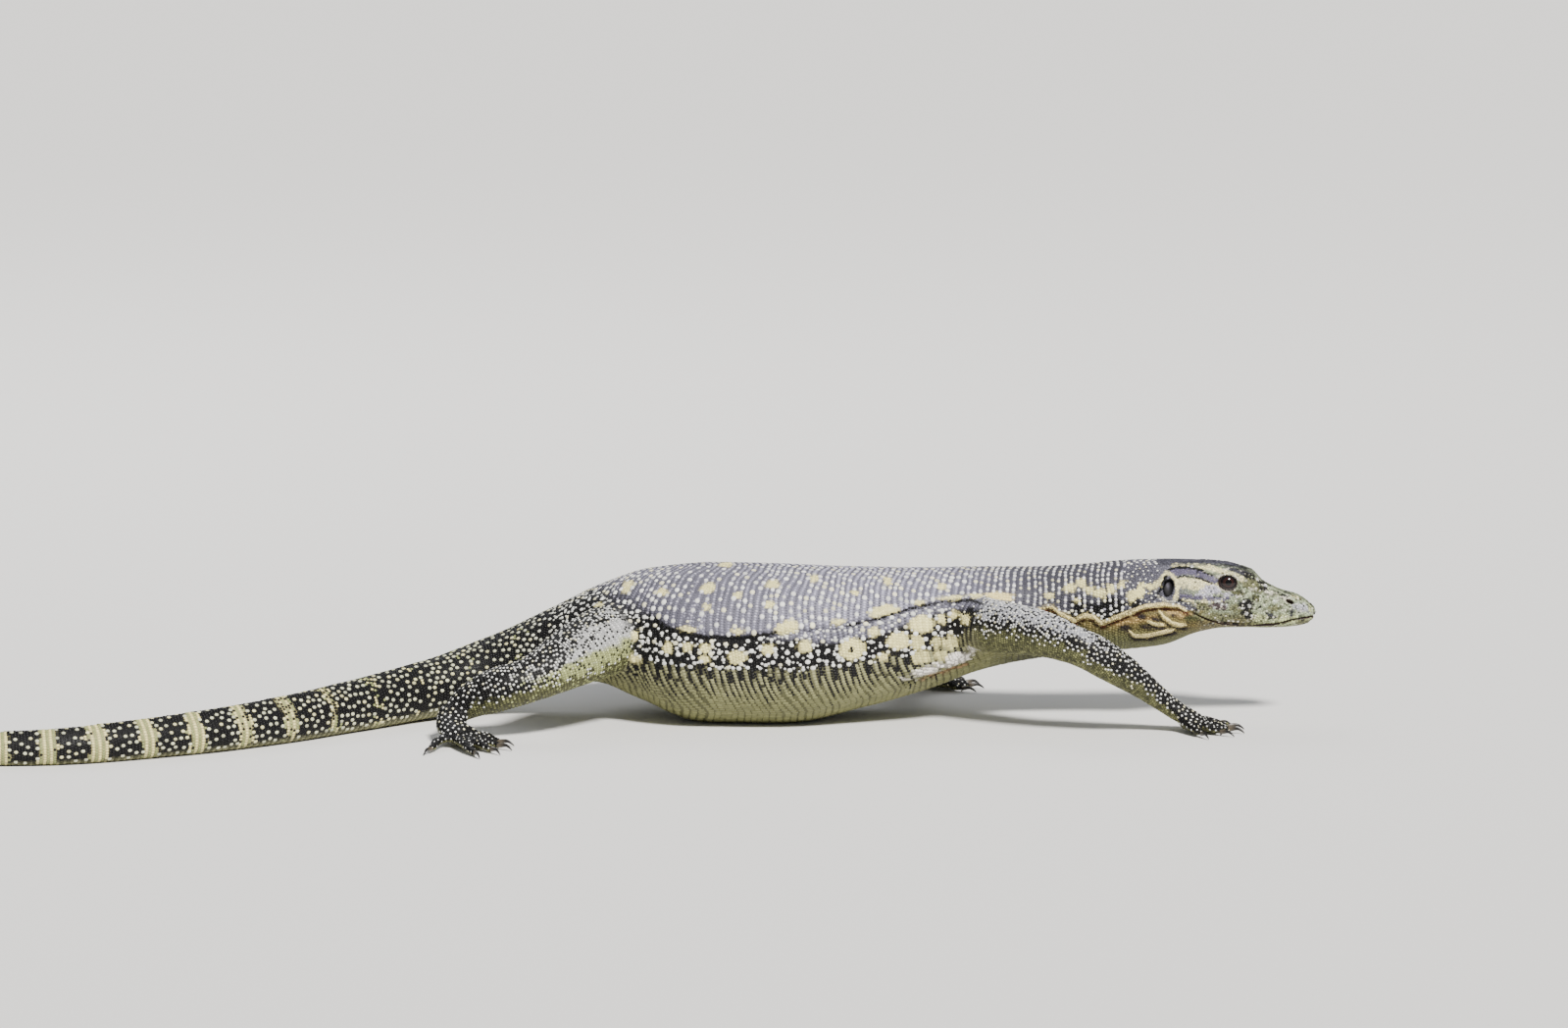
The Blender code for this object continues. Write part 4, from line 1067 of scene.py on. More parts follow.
def bodyRows():
    settings = coatSettings
    turn = np.linspace(-math.pi / 2, math.pi * 1.5, 241)
    draw = np.random.default_rng(settings["seed"] + 1)
    points, outward, minor, pitches = [], [], [], []
    along, row = alongOf["nape"] + 0.004, 0
    while along < lineAlong[-1] - 0.0015:
        onTail = between(along, "vent", "tailLow")
        tail = mix(*settings["tailPitch"], between(along, "tailLow", "tailTip"))
        pitch = mix(settings["rowPitch"], tail, onTail)
        ring = ringPoints(np.full(len(turn), along), turn)
        length = np.linalg.norm(np.diff(ring, axis=0), axis=1)
        girth = np.abs(((turn[:-1] + turn[1:]) / 2 - math.pi / 2)) / math.pi
        wide = np.interp(girth, [0.6, 0.8], [settings["aroundPitch"], settings["bellyPitch"]])
        wide = mix(wide, tail * 0.86, onTail)
        count = np.concatenate([[0], np.cumsum(length / wide)])
        total = max(5, round(count[-1]))
        seats = (np.arange(total) + 0.5 * (row % 2) + 0.25) * count[-1] / total % count[-1]
        seatTurn = np.interp(seats, count, turn)
        place = ringPoints(np.full(total, along), seatTurn)
        low = np.abs(seatTurn - math.pi / 2) / math.pi
        window = clamp((along - alongOf["collar"]) / 0.09) * clamp((alongOf["vent"] - along) / 0.09)
        sway = 0.017 * window * np.sin(math.pi * clamp(low / 0.72))
        drift = wave(place, 0.055, 51) * 0.0013 + wave(place, 0.015, 52) * 0.0004
        sway += drift + draw.uniform(-1, 1, total) * 0.00018
        seatTurn = seatTurn + draw.uniform(-1, 1, total) * 0.07 / max(total / math.tau, 1)
        place = ringPoints(np.clip(along + sway * (1 - onTail * 0.7), 0, lineAlong[-1] - 0.0005), seatTurn)
        points.append(place)
        outward.append(unitRows(place - ring[:-1].mean(0)))
        minor += [row % 2 == 1] * total
        widths = np.interp(seats, count, np.append(wide, wide[-1]))
        pitches.append(np.column_stack([widths, np.full(total, pitch)]))
        along += pitch
        row += 1
    points, outward, pitches = (np.concatenate(part) for part in (points, outward, pitches))
    keep, places, lifts = landOnSkin(points, outward, settings["landing"])
    return places, lifts, np.array(minor)[keep], pitches[keep]


def limbRows(limb):
    settings = coatSettings
    pitch = settings["limbPitch"][limb["fore"]]
    turn = np.linspace(0, math.tau, 73)
    places, lifts, minor, pitches = [], [], [], []
    row, along = 0, 0.004
    last = limb["at"][-1] - 0.006
    while along < last:
        centre, ahead = (np.array([np.interp(spot, limb["at"], limb["path"][:, k]) for k in range(3)])
                         for spot in (along, along + 0.002))
        way = (ahead - centre) / np.linalg.norm(ahead - centre)
        across = np.cross(way, (0, 0, 1.0))
        across /= np.linalg.norm(across)
        upward = np.cross(across, way)
        ring = []
        for angle in turn:
            ray = across * math.cos(angle) + upward * math.sin(angle)
            hit = skinTree.ray_cast(Vector(centre), Vector(ray), 0.034)[0]
            ring.append((np.nan,) * 3 if hit is None else hit)
        ring = np.array(ring)
        length = np.nan_to_num(np.linalg.norm(np.diff(ring, axis=0), axis=1), nan=0.0)
        length = np.where(length > 0.008, 0, length)
        count = np.concatenate([[0], np.cumsum(length)])
        total = int(count[-1] / (pitch * 0.98))
        if total > 4:
            seats = (np.arange(total) + 0.5 * (row % 2)) / total * count[-1]
            for seat in seats:
                k = min(np.searchsorted(count, seat, side="right") - 1, len(length) - 1)
                if length[k] == 0:
                    continue
                share = (seat - count[k]) / length[k]
                point = ring[k] * (1 - share) + ring[k + 1] * share
                if np.isnan(point).any():
                    continue
                place, face = placeAndFace(skinTree.find_nearest(Vector(point)))
                lift = faceNormals[face]
                if abs(lift @ way) > 0.75:
                    continue
                places.append(place)
                lifts.append(lift)
                minor.append(row % 2 == 1)
                pitches.append((pitch * 0.98, pitch))
        along += pitch
        row += 1
    return np.array(places), unitRows(np.array(lifts)), np.array(minor), np.array(pitches)


def photoSpot(u, v, side):
    # where a spot of the photograph lies on the skin; the left side is its mirror image
    across = (u - photo["originAcross"]) / photo["pixelsPerMetre"]
    height = (photo["floorDown"] - v) / photo["pixelsPerMetre"]
    far = 0.5  # metres from the animal's middle to where the ray starts
    start = Vector((across, sideSigns[side] * far, (height + far * riseSin) / riseCos))
    ray = Vector((0, -sideSigns[side] * riseCos, -riseSin))
    return placeAndFace(skinTree.ray_cast(start, ray, 1.0))


def fillSites(taken, spacingOf):
    # even but irregular scales wherever the rows leave room
    draw = np.random.default_rng(coatSettings["seed"])
    quads = [k for k, face in enumerate(skinFaces) if len(face) == 4]
    corners = [face[:3] for face in skinFaces] + [(skinFaces[k][0], *skinFaces[k][2:]) for k in quads]
    corners = np.array(corners)
    owner = np.array(list(range(len(skinFaces))) + quads)
    a, b, c = (skinPoints[corners[:, k]] for k in range(3))
    area = np.linalg.norm(np.cross(b - a, c - a), axis=1) / 2
    middle = (a + b + c) / 3
    seated = nearTree([place for place, size in taken])
    covered = gapsTo(middle, seated) < coatSettings["denseGap"]
    weight = area / spacingOf(middle) ** 2 * np.where(covered, 0.12, 1)
    pick = draw.choice(len(corners), coatSettings["candidates"], p=weight / weight.sum())
    s, t = draw.random(len(pick)), draw.random(len(pick))
    s, t = np.where(s + t > 1, 1 - s, s), np.where(s + t > 1, 1 - t, t)
    spots = a[pick] + (b - a)[pick] * s[:, None] + (c - a)[pick] * t[:, None]
    spacing = spacingOf(spots)
    tree = nearTree(spots)
    blocked = spacing > 1
    for place, size in taken:
        for found in tree.find_range(place, size):
            blocked[found[1]] = True
    chosen = thinned(spots, tree, range(len(spots)), spacing * 0.93, blocked)
    return spots[chosen], unitRows(faceNormals[owner[pick[chosen]]]), spacing[chosen]


def headGap(points, u, v):
    # how far apart the head's scales stand, huge where none grow
    settings = coatSettings
    girth = bodyPlace(points)["girth"]
    gaps = [settings[name] for name in ("headTop", "headSide", "headSide", "throat")]
    spacing = np.interp(girth, [0.09, 0.16, 0.72, 0.82], gaps)
    reach = ovalReach(u, v, eyeSpot)
    spacing = np.where(reach < 1.9, 0.0011 + 0.0006 * clamp(reach - 1.1), spacing)
    spacing = np.where(ovalReach(u, v, nostrilSpot) < 2.2, 0.0011, spacing)
    bare = (reach < 1.12) & (np.abs(girth - 0.5) < 0.4)
    bare |= (ovalReach(u, v, earSpot) < 1.02) | (ovalReach(u, v, nostrilSpot) < 1.15)
    bare |= (mouthGap(points)[0] < 0.00085) & (points[:, 0] > mouthLine[-1][0])
    return np.where(bare, 10.0, spacing)


def spacingOf(points):
    settings = coatSettings
    u, v, place = sideView(points)
    along, depth = place["along"], place["depth"]
    which, at = limbPlace(points)[1:3]
    spacing = np.full(len(points), settings["gap"])
    isHead = (along < alongOf["nape"] + 0.006) & (depth < 1.3) & (points[:, 0] > 0.25)
    spacing = np.where(isHead, headGap(points, u, v), spacing)
    paw = (at > limbEnds[which] - 0.008) & (depth > 1.05) & ~isHead & (points[:, 2] < 0.035)
    return np.where(paw, settings["paw"], spacing)


def lineSites(path, pitch, width, tall):
    # a row of scales along a line of the photograph, on both sides of the head
    path = np.asarray(path, float)
    length = stepsAlong(path)
    places, lifts, sizes = [], [], []
    for seat in np.arange(pitch / 2, length[-1], pitch):
        u, v = np.interp(seat, length, path[:, 0]), np.interp(seat, length, path[:, 1])
        for side in sideSigns:
            place, face = photoSpot(u, v, side)
            if place is None:
                continue
            places.append(place)
            lifts.append(faceNormals[face])
            sizes.append((tall / photo["pixelsPerMetre"], width / photo["pixelsPerMetre"]))
    return np.array(places), unitRows(np.array(lifts)), np.array(sizes)


def mouthView():
    # the mouth line in the photograph
    halfWidth = np.interp(-smoothMouth[:, 0], -sampleLine[:, 0], sampleLine[:, 4])
    height = smoothMouth[:, 1] * riseCos - halfWidth * 0.96 * riseSin
    return np.column_stack([smoothMouth[:, 0] * photo["pixelsPerMetre"] + photo["originAcross"],
                            photo["floorDown"] - height * photo["pixelsPerMetre"]])


def nearTree(points, labels=None):
    # a tree to search the points in; each goes by its label, or else by its number
    tree = KDTree(len(points))
    for k, point in enumerate(points):
        tree.insert(point, k if labels is None else int(labels[k]))
    tree.balance()
    return tree


def gapsTo(points, tree):
    # distance from each point to the nearest one of the tree
    return np.array([tree.find(point)[2] for point in points])


def thinned(points, tree, order, reach, blocked):
    # takes points in the given order and blocks the neighbours of each
    taken = []
    for k in order:
        if blocked[k]:
            continue
        taken.append(k)
        for found in tree.find_range(points[k], reach[k]):
            blocked[found[1]] = True
    return np.array(taken)


def gatherSites():
    # kinds: 0 body rows, 1 limb rows, 2 filled in, 3 lips and brow, 4 pale folds
    groups, taken = [], []
    room = coatSettings["rowRoom"]
    draw = np.random.default_rng(coatSettings["seed"] + 2)
    mouth = mouthView()
    front = mouth[mouth[:, 0] > 1222]
    brow = [(1229, 583.5), (1240, 581), (1252, 580), (1264, 583.5), (1272, 588)]
    # path, pitch, width and height in pixels, and kind
    lines = [(front + (0, -2.6), 3.1, 3.3, 3.0, 3), (front + (0, 2.4), 3.1, 3.3, 2.6, 3)]
    lines.append((brow, 3.4, 3.7, 2.6, 3))
    for path, half in zip((foldLine, *crescents), (1.5, 1.5, 1.3, 1.1)):
        lines += [(np.array(path) + (0.9 * row, half * row), 2.0, 2.3, 2.5, 4) for row in (-1, 0, 1)]
    for path, pitch, width, tall, kind in lines:
        places, lifts, sizes = lineSites(path, pitch, width, tall)
        if kind == 4:
            places = places + draw.uniform(-0.00022, 0.00022, places.shape)
        groups.append((places, lifts, np.zeros(len(places), bool), sizes, np.full(len(places), kind)))
        taken += [(place, coatSettings["lineRoom"]) for place in places]
    onLines = nearTree(np.concatenate([group[0] for group in groups]))
    rows = bodyRows()
    clear = gapsTo(rows[0], onLines) > coatSettings["lineGap"]
    places, lifts, minor, sizes = (part[clear] for part in rows)
    print("body rows:", len(places), "scales")
    groups.append((places, lifts, minor, sizes, np.zeros(len(places), int)))
    taken += [(place, size.max() * room) for place, size in zip(places, sizes)]
    onRows = nearTree(places)
    for limb in limbs.values():
        rows = limbRows(limb)
        clear = gapsTo(rows[0], onRows) > coatSettings["limbGap"]
        rows = [part[clear] for part in rows]
        # bends crowd the rows on their inner side
        total = len(rows[0])
        reach = np.full(total, coatSettings["ownGap"])
        alive = thinned(rows[0], nearTree(rows[0]), range(total), reach, np.zeros(total, bool))
        places, lifts, minor, sizes = (part[alive] for part in rows)
        groups.append((places, lifts, minor, sizes, np.ones(len(places), int)))
        taken += [(place, size.max() * room) for place, size in zip(places, sizes)]
    places, lifts, spacing = fillSites(taken, spacingOf)
    sizes = np.column_stack([spacing, spacing * 1.06])
    groups.append((places, lifts, np.zeros(len(places), bool), sizes, np.full(len(places), 2)))
    print("filled in:", len(places), "scales")
    return [np.concatenate([group[k] for group in groups]) for k in range(5)]


def pickDots(points, spacing, draw):
    # white dots at roughly even distances
    wanted = np.flatnonzero(spacing > 0)
    order = wanted[draw.permutation(len(wanted))]
    dots = np.zeros(len(points), bool)
    tree = nearTree(points[wanted], wanted)
    dots[thinned(points, tree, order, spacing, np.zeros(len(points), bool))] = True
    return dots


def paintedSites(points, normals, minor, dice):
    # colour of any place on the animal, the spacing of its white dots, and what is known of the place
    u, v, place = sideView(points)
    along, offset, girth, depth = place.values()
    far, which, at, run = limbPlace(points)
    bodyT, bodyDots, belly, stripe, creamy = bodyTint(points, u, v, minor)
    tailT, tailDots = tailTint(points, along, girth, minor, dice)
    onTail = clamp((along - alongOf["hip"] - 0.02) / 0.05)
    tint = mix(bodyT, tailT, onTail[:, None])
    spacing = np.where(onTail > 0.5, tailDots, bodyDots)
    head = clamp((alongOf["nape"] - 0.018 - along + 0.003 * wave(points, 0.01, 41)) / 0.006)
    throat = clamp((1224 - u + (v - 620) * 0.4 + 5 * wave(points, 0.012, 44)) / 12) * clamp((v - 612.5) / 2)
    head = head * (1 - throat) * (depth < 1.4)
    tint = mix(tint, headTint(points, u, v, girth), head[:, None])
    spacing = np.where(head > 0.4, 0, spacing)
    onLimb = clamp((depth - 1.05 + 0.03 * wave(points, 0.01, 42)) / 0.08) * (far < 0.045)
    onLimb = np.where(points[:, 0] > 0.30, onLimb * (points[:, 2] < 0.05), onLimb)
    fore = np.array([limb["fore"] for limb in limbs.values()])[which]
    # the flank's blotches run on over the rear of the shoulder
    nearTrunk = clamp((1.5 - depth) / 0.15) * fore * (offset < 0)
    onLimb *= 1 - nearTrunk * (1 - clamp((u - 996 + 4 * wave(points, 0.01, 43)) / 12))
    limbWay = {"share": at / limbEnds[which], "fore": fore, "minor": minor}
    limbT, limbDots = limbTint(points, normals, limbWay, dice)
    tint = mix(tint, limbT, onLimb[:, None])
    spacing = np.where(onLimb > 0.5, limbDots, spacing)
    onBody = (onLimb < 0.5) * (head < 0.5)
    known = {"along": along, "girth": girth, "offset": offset, "u": u, "v": v, "head": head, "limb": onLimb}
    known.update({"which": which, "at": at, "run": run, "end": limbEnds[which], "stripe": stripe})
    known.update({"creamy": creamy * onBody, "belly": belly * onBody * (onTail < 0.5)})
    return tint, spacing, known


def eulerAngles(across, lengthwise, upward):
    # turn of the frame whose axes are the three given directions
    tilt = -np.arcsin(np.clip(across[:, 2], -1, 1))
    roll = np.arctan2(lengthwise[:, 2], upward[:, 2])
    spin = np.arctan2(across[:, 1], across[:, 0])
    return np.column_stack([roll, tilt, spin])


def scaleShape(name, rings, apex, corners, power):
    # low dome or plate, one unit across; its tip leans towards the free end at +Y
    points, crown, faces = [], [], []
    for radius, height, lean in rings:
        for c in range(corners):
            t = (c + 0.5) / corners * math.tau
            x = math.copysign(abs(math.cos(t)) ** (2 / power), math.cos(t)) * radius
            y = math.copysign(abs(math.sin(t)) ** (2 / power), math.sin(t)) * radius
            points.append((x, y + lean, height))
            crown.append(max(0.0, height))
    points.append((0, apex[1], apex[0]))
    crown.append(apex[0])
    for a, b, c, d in tubeFaces(len(rings), corners):
        faces += [(a, b, c), (a, c, d)]
    last = (len(rings) - 1) * corners
    faces += [(last + k, last + (k + 1) % corners, len(points) - 1) for k in range(corners)]
    mesh = meshFrom(name, points, faces)
    # height on the scale, for the painted shade towards its rim
    mesh.attributes.new("crown", "FLOAT", "POINT").data.foreach_set("value", crown)
    patch = mesh.attributes.new("patch", "FLOAT_VECTOR", "POINT")
    patch.data.foreach_set("vector", np.array([(p[0], p[1], 0) for p in points]).ravel())
    shape = addObject(name, mesh)
    shape.hide_render = True
    return shape


def addNode(tree, kind, inputs, output=0, operation=None):
    # a node whose inputs take a value or another node's output; gives its own output, or the node
    node = tree.nodes.new(kind)
    if operation:
        node.operation = operation
    for label, value in inputs.items():
        if isinstance(value, bpy.types.NodeSocket):
            tree.links.new(value, node.inputs[label])
        else:
            node.inputs[label].default_value = value
    return node.outputs[output] if output is not None else node


def scaleTree():
    # sets one scale on every point, turned, sized and tinted by the point's own values
    tree = bpy.data.node_groups.new("scaleCoat", "GeometryNodeTree")
    kinds = {"Geometry": "Geometry", "Scale Shape": "Object", "Patch Width": "Float", "Finish": "Material"}
    for label, kind in kinds.items():
        tree.interface.new_socket(label, in_out="INPUT", socket_type="NodeSocket" + kind)
    tree.interface.new_socket("Geometry", in_out="OUTPUT", socket_type="NodeSocketGeometry")
    given = tree.nodes.new("NodeGroupInput").outputs

    def named(name):
        node = addNode(tree, "GeometryNodeInputNamedAttribute", {"Name": name}, None)
        node.data_type = "FLOAT_VECTOR"
        return node.outputs["Attribute"]

    inputs = {"As Instance": True, "Object": given["Scale Shape"]}
    shape = addNode(tree, "GeometryNodeObjectInfo", inputs, "Geometry")
    turn = addNode(tree, "FunctionNodeEulerToRotation", {"Euler": named("turn")})
    inputs = {"Points": given[0], "Instance": shape, "Rotation": turn, "Scale": named("size")}
    scales = addNode(tree, "GeometryNodeInstanceOnPoints", inputs)
    scales = addNode(tree, "GeometryNodeRealizeInstances", {"Geometry": scales})
    # the baked picture's place: each scale's root, and a small patch round it
    inputs = {0: named("patch"), "Scale": given["Patch Width"]}
    patch = addNode(tree, "ShaderNodeVectorMath", inputs, "Vector", "SCALE")
    patch = addNode(tree, "ShaderNodeVectorMath", {0: named("root"), 1: patch}, "Vector", "ADD")
    store = addNode(tree, "GeometryNodeStoreNamedAttribute", {"Name": "OFBake"}, None)
    store.data_type, store.domain = "FLOAT2", "CORNER"
    tree.links.new(scales, store.inputs["Geometry"])
    tree.links.new(patch, store.inputs["Value"])
    scales = addNode(tree, "GeometryNodeSetShadeSmooth", {"Geometry": store.outputs["Geometry"]})
    scales = addNode(tree, "GeometryNodeSetMaterial", {"Geometry": scales, "Material": given["Finish"]})
    addNode(tree, "NodeGroupOutput", {0: scales}, None)
    return tree


def setInput(modifier, name, value):
    # a modifier's input goes by its socket's identifier
    for item in modifier.node_group.interface.items_tree:
        if item.item_type == "SOCKET" and item.in_out == "INPUT" and item.name == name:
            modifier[item.identifier] = value


def coatPiece(name, shape, finish, points, turn, size, tint, root):
    mesh = meshFrom(name + "Seats", points, [])
    for label, values in (("turn", turn), ("size", size), ("root", root)):
        mesh.attributes.new(label, "FLOAT_VECTOR", "POINT").data.foreach_set("vector", values.ravel())
    setTint(mesh, tint)
    seats = addObject(name + "Seats", mesh)
    modifier = seats.modifiers.new("scales", "NODES")
    modifier.node_group = coatTree
    setInput(modifier, "Scale Shape", shape)
    setInput(modifier, "Patch Width", coatSettings["patchWidth"])
    setInput(modifier, "Finish", finish)
    coat = plainMesh(seats)
    bpy.data.objects.remove(seats)
    for label in ("turn", "size", "root", "patch"):
        if label in coat.attributes:
            coat.attributes.remove(coat.attributes[label])
    points = meshArrays(coat)[0]
    points[:, 2] = np.maximum(points[:, 2], coatSettings["floorClear"])
    setPoints(coat, points)
    coat.materials.clear()
    coat.materials.append(finish)
    coat.polygons.foreach_set("material_index", np.zeros(len(coat.polygons), np.int32))
    return coat


def joinMeshes(name, meshes):
    # one piece from several coats that share a finish
    parts = [addObject(name + "Part", mesh) for mesh in meshes]
    if len(parts) > 1:
        with bpy.context.temp_override(active_object=parts[0], selected_editable_objects=parts):
            bpy.ops.object.join()
    parts[0].name = name
    return parts[0]


def newPaint(name):
    paint = bpy.data.materials.new(name)
    paint.use_nodes = True
    return paint, paint.node_tree.nodes["Principled BSDF"]


def hideGroup():
    # colour of each scale, darker towards its rim as painted shade so that its crown is paler, with fine
    # uneven grain
    group = bpy.data.node_groups.new("hideGrain", "ShaderNodeTree")
    inputs = {"Tint": (1, 1, 1, 1), "Crown": 1.0, "Edge": 0.6}
    inputs.update({"Grain Size": 900.0, "Grain": 0.15, "Gloss": 0.4})
    for label, value in inputs.items():
        kind = "NodeSocketColor" if label == "Tint" else "NodeSocketFloat"
        group.interface.new_socket(label, in_out="INPUT", socket_type=kind).default_value = value
    for label, kind in (("Colour", "Color"), ("Roughness", "Float"), ("Height", "Float")):
        group.interface.new_socket(label, in_out="OUTPUT", socket_type="NodeSocket" + kind)
    given = group.nodes.new("NodeGroupInput").outputs
    place = addNode(group, "ShaderNodeTexCoord", {}, "Object")
    inputs = {"Detail": 3, "Vector": place, "Scale": given["Grain Size"]}
    grain = addNode(group, "ShaderNodeTexNoise", inputs, "Fac")

    def reckon(kind, first, second):
        return addNode(group, "ShaderNodeMath", {0: first, 1: second}, 0, kind)

    centred = reckon("SUBTRACT", grain, 0.5)
    strength = reckon("MULTIPLY", given["Grain"], 3.0)
    speckle = reckon("ADD", reckon("MULTIPLY", centred, strength), 1.0)
    # painted shade: the rim keeps Edge of the tint, the crown all of it
    raised = reckon("MULTIPLY", given["Crown"], reckon("SUBTRACT", 1.0, given["Edge"]))
    shade = reckon("MULTIPLY", speckle, reckon("ADD", raised, given["Edge"]))
    colour = addNode(group, "ShaderNodeVectorMath", {0: given["Tint"], "Scale": shade}, "Vector", "SCALE")
    roughness = reckon("ADD", reckon("MULTIPLY", centred, 0.35), given["Gloss"])
    results = {"Colour": colour, "Roughness": roughness, "Height": grain}
    addNode(group, "NodeGroupOutput", results, None)
    return group


def attributeNode(tree, name, output):
    # reads one of the mesh's own attributes
    node = addNode(tree, "ShaderNodeAttribute", {}, None)
    node.attribute_name = name
    return node.outputs[output]


def hidePaint(name, settings, crowned):
    paint, shader = newPaint(name)
    tree = paint.node_tree
    body = tree.nodes.new("ShaderNodeGroup")
    body.node_tree = hideGrain
    for label, value in settings.items():
        body.inputs[label].default_value = value
    tree.links.new(attributeNode(tree, "tint", "Color"), body.inputs["Tint"])
    if crowned:
        tree.links.new(attributeNode(tree, "crown", "Fac"), body.inputs["Crown"])
    inputs = {"Strength": 0.25, "Distance": 0.0002, "Height": body.outputs["Height"]}
    bump = addNode(tree, "ShaderNodeBump", inputs, "Normal")
    tree.links.new(body.outputs["Colour"], shader.inputs["Base Color"])
    tree.links.new(body.outputs["Roughness"], shader.inputs["Roughness"])
    tree.links.new(bump, shader.inputs["Normal"])
    shader.inputs["Specular IOR Level"].default_value = 0.22
    return paint


hideGrain = hideGroup()
# Edge: the share of the tint left at each scale's painted-shaded rim; 1 leaves it unshaded
hideSettings = {
    "skinPaint": {"Edge": 1.0, "Grain Size": 700.0, "Grain": 0.20, "Gloss": 0.50},
    "scalePaint": {"Edge": 0.50, "Grain Size": 1500.0, "Grain": 0.14, "Gloss": 0.44},
    "headPaint": {"Edge": 0.62, "Grain Size": 1800.0, "Grain": 0.12, "Gloss": 0.46},
}
skinPaint, scalePaint, headPaint = (
    hidePaint(name, settings, name != "skinPaint") for name, settings in hideSettings.items())

# colour the skin like the scales above it, darker as painted shade in the gaps between them
skinMinor, skinDice = np.zeros(len(skinPoints), bool), np.full(len(skinPoints), 0.5)
painted = paintedSites(skinPoints, skinNormals, skinMinor, skinDice)
depthShade = np.maximum(0.42 + 0.08 * painted[2]["head"], 0.80 * painted[2]["creamy"])
setTint(skinMesh, painted[0] * depthShade[:, None])
skinMesh.materials.append(skinPaint)

# build the coat
coatTree = scaleTree()
sites, lifts, minor, pitches, kinds = gatherSites()
draw = np.random.default_rng(19)
dice = draw.random(len(sites))
tint, dotSpacing, place = paintedSites(sites, lifts, minor, dice)
# broad plates on the belly: the small rows between them stay only where they make the pinstripes
scute = (kinds == 0) & (place["belly"] > 0.5) & (place["u"] < 1040)
kept = ~(scute & minor & (place["stripe"] < 0.30))
parts = (sites, lifts, minor, pitches, kinds, dice, tint, dotSpacing, scute)
sites, lifts, minor, pitches, kinds, dice, tint, dotSpacing, scute = (part[kept] for part in parts)
place = {name: part[kept] for name, part in place.items()}
striped = scute & (place["stripe"] >= 0.30)

isLimb = (place["limb"] > 0.5) | (kinds == 1)
onTrunk = (kinds == 0) & ~isLimb & (place["along"] < alongOf["vent"])
upper = onTrunk & (place["v"] < np.interp(place["u"], sideLine[:, 0], sideLine[:, 1]))
lowFlank = onTrunk & ~upper
ragged = draw.uniform(0.78, 1.30, len(sites))
large = pickDots(sites, np.where(onTrunk & minor & upper, 0, dotSpacing * ragged), draw)
# single pale scales between the large dots: painted glints on the back, white dots on the lower flank
spare = ~large & (dotSpacing > 0)
spare &= upper & ~minor | lowFlank
small = pickDots(sites, np.where(spare, 0.0029 * ragged, 0), draw) & (dice < 0.72)
dotTone = tones["white"] * np.where((place["v"] > 600) | isLimb, 1, 0.95)[:, None]
tailShare = clamp((place["along"] - alongOf["vent"] + 0.02) / 0.05)[:, None] * ~isLimb[:, None]
dotTone = mix(dotTone, tones["white"] * 0.40 + tones["lime"] * 0.42 + tones["cream"] * 0.12, tailShare)
dotTone = np.where((dice > 0.80)[:, None], dotTone * 0.5 + tones["cream"] * 0.5, dotTone)
dotTone = dotTone * np.clip(draw.normal(0.92, 0.12, len(sites)), 0.55, 1.05)[:, None]
tint = np.where(large[:, None], dotTone, tint)
# painted glints: lilac single scales on the back
tint = np.where((small & upper)[:, None], tint * 0.35 + tones["lilac"] * 0.65, tint)
tint = np.where((small & lowFlank)[:, None], dotTone * 0.9, tint)
headScale = (place["head"] > 0.5) & ~isLimb
headShade, bodyShade = draw.uniform(0.70, 1.18, len(sites)), draw.uniform(0.84, 1.12, len(sites))
tint *= np.where(headScale, headShade, bodyShade)[:, None]

# each scale lies flat and points to the tail or down the limb
towards = np.zeros((len(sites), 3))
towards[:, :2] = lineAt(place["along"])[1]
towards = np.where(isLimb[:, None], place["run"], towards)
towards -= lifts * (towards * lifts).sum(1)[:, None]
towards /= np.maximum(np.linalg.norm(towards, axis=1), 1e-6)[:, None]
turns = eulerAngles(np.cross(towards, lifts), towards, lifts)

# sizes: white dots are larger, and less so on neck, limbs and tail
growth = {
    "dots": (1.25, 1.75), "smallRows": 0.82, "flankDots": 1.04, "backDots": 1.12, "cream": 1.16,
    "filled": 1.12, "mostInFront": 1.30, "neckDots": 0.90, "limbDots": 0.72, "mostOnTail": 1.32,
    "width": 1.04, "length": 1.12, "plateLength": 2.04, "stripeLength": (1.30, 0.85),
    "backWidth": 1.20, "backLength": 0.90, "dotHeight": 1.25, "plateHeight": 0.7, "foldHeight": 1.2,
}
beyondHip = (place["along"] > alongOf["hip"]) & ~isLimb
inFront = (place["u"] > 1000) | ~onTrunk
grow = np.where(onTrunk & minor, growth["smallRows"], 1.0)
grow = np.where(large, draw.uniform(*growth["dots"], len(sites)), grow)
grow = np.where(large & lowFlank, grow * growth["flankDots"], grow)
grow = np.where(large & upper, grow * growth["backDots"], grow)
grow = np.where(place["creamy"] > 0.5, growth["cream"], grow)
grow = np.where(kinds == 2, growth["filled"], grow)
grow = np.where(large & inFront, np.minimum(grow, growth["mostInFront"]), grow)
grow = np.where(large & (place["u"] > 1040) & ~isLimb, grow * growth["neckDots"], grow)
grow = np.where(large & isLimb, grow * growth["limbDots"], grow)
grow = np.where(large & beyondHip, np.minimum(grow, growth["mostOnTail"]), grow)
width = pitches[:, 0] * growth["width"] * grow
length = pitches[:, 1] * growth["length"] * grow
stripeLength, smallStripe = growth["stripeLength"]
plateLength = np.where(striped, np.where(minor, smallStripe, stripeLength), growth["plateLength"])
length = np.where(scute, pitches[:, 1] * plateLength, length)
width = np.where(large & upper, width * growth["backWidth"], width)
length = np.where(large & upper, length * growth["backLength"], length)
height = coatSettings["height"] * np.clip(pitches.min(1) / 0.0021, 0.5, 1.1)
height = np.where(large, height * growth["dotHeight"], height)
bellyFlat = scute | ((place["girth"] > 0.66) & ~isLimb)
height = np.where(bellyFlat, height * growth["plateHeight"], height)
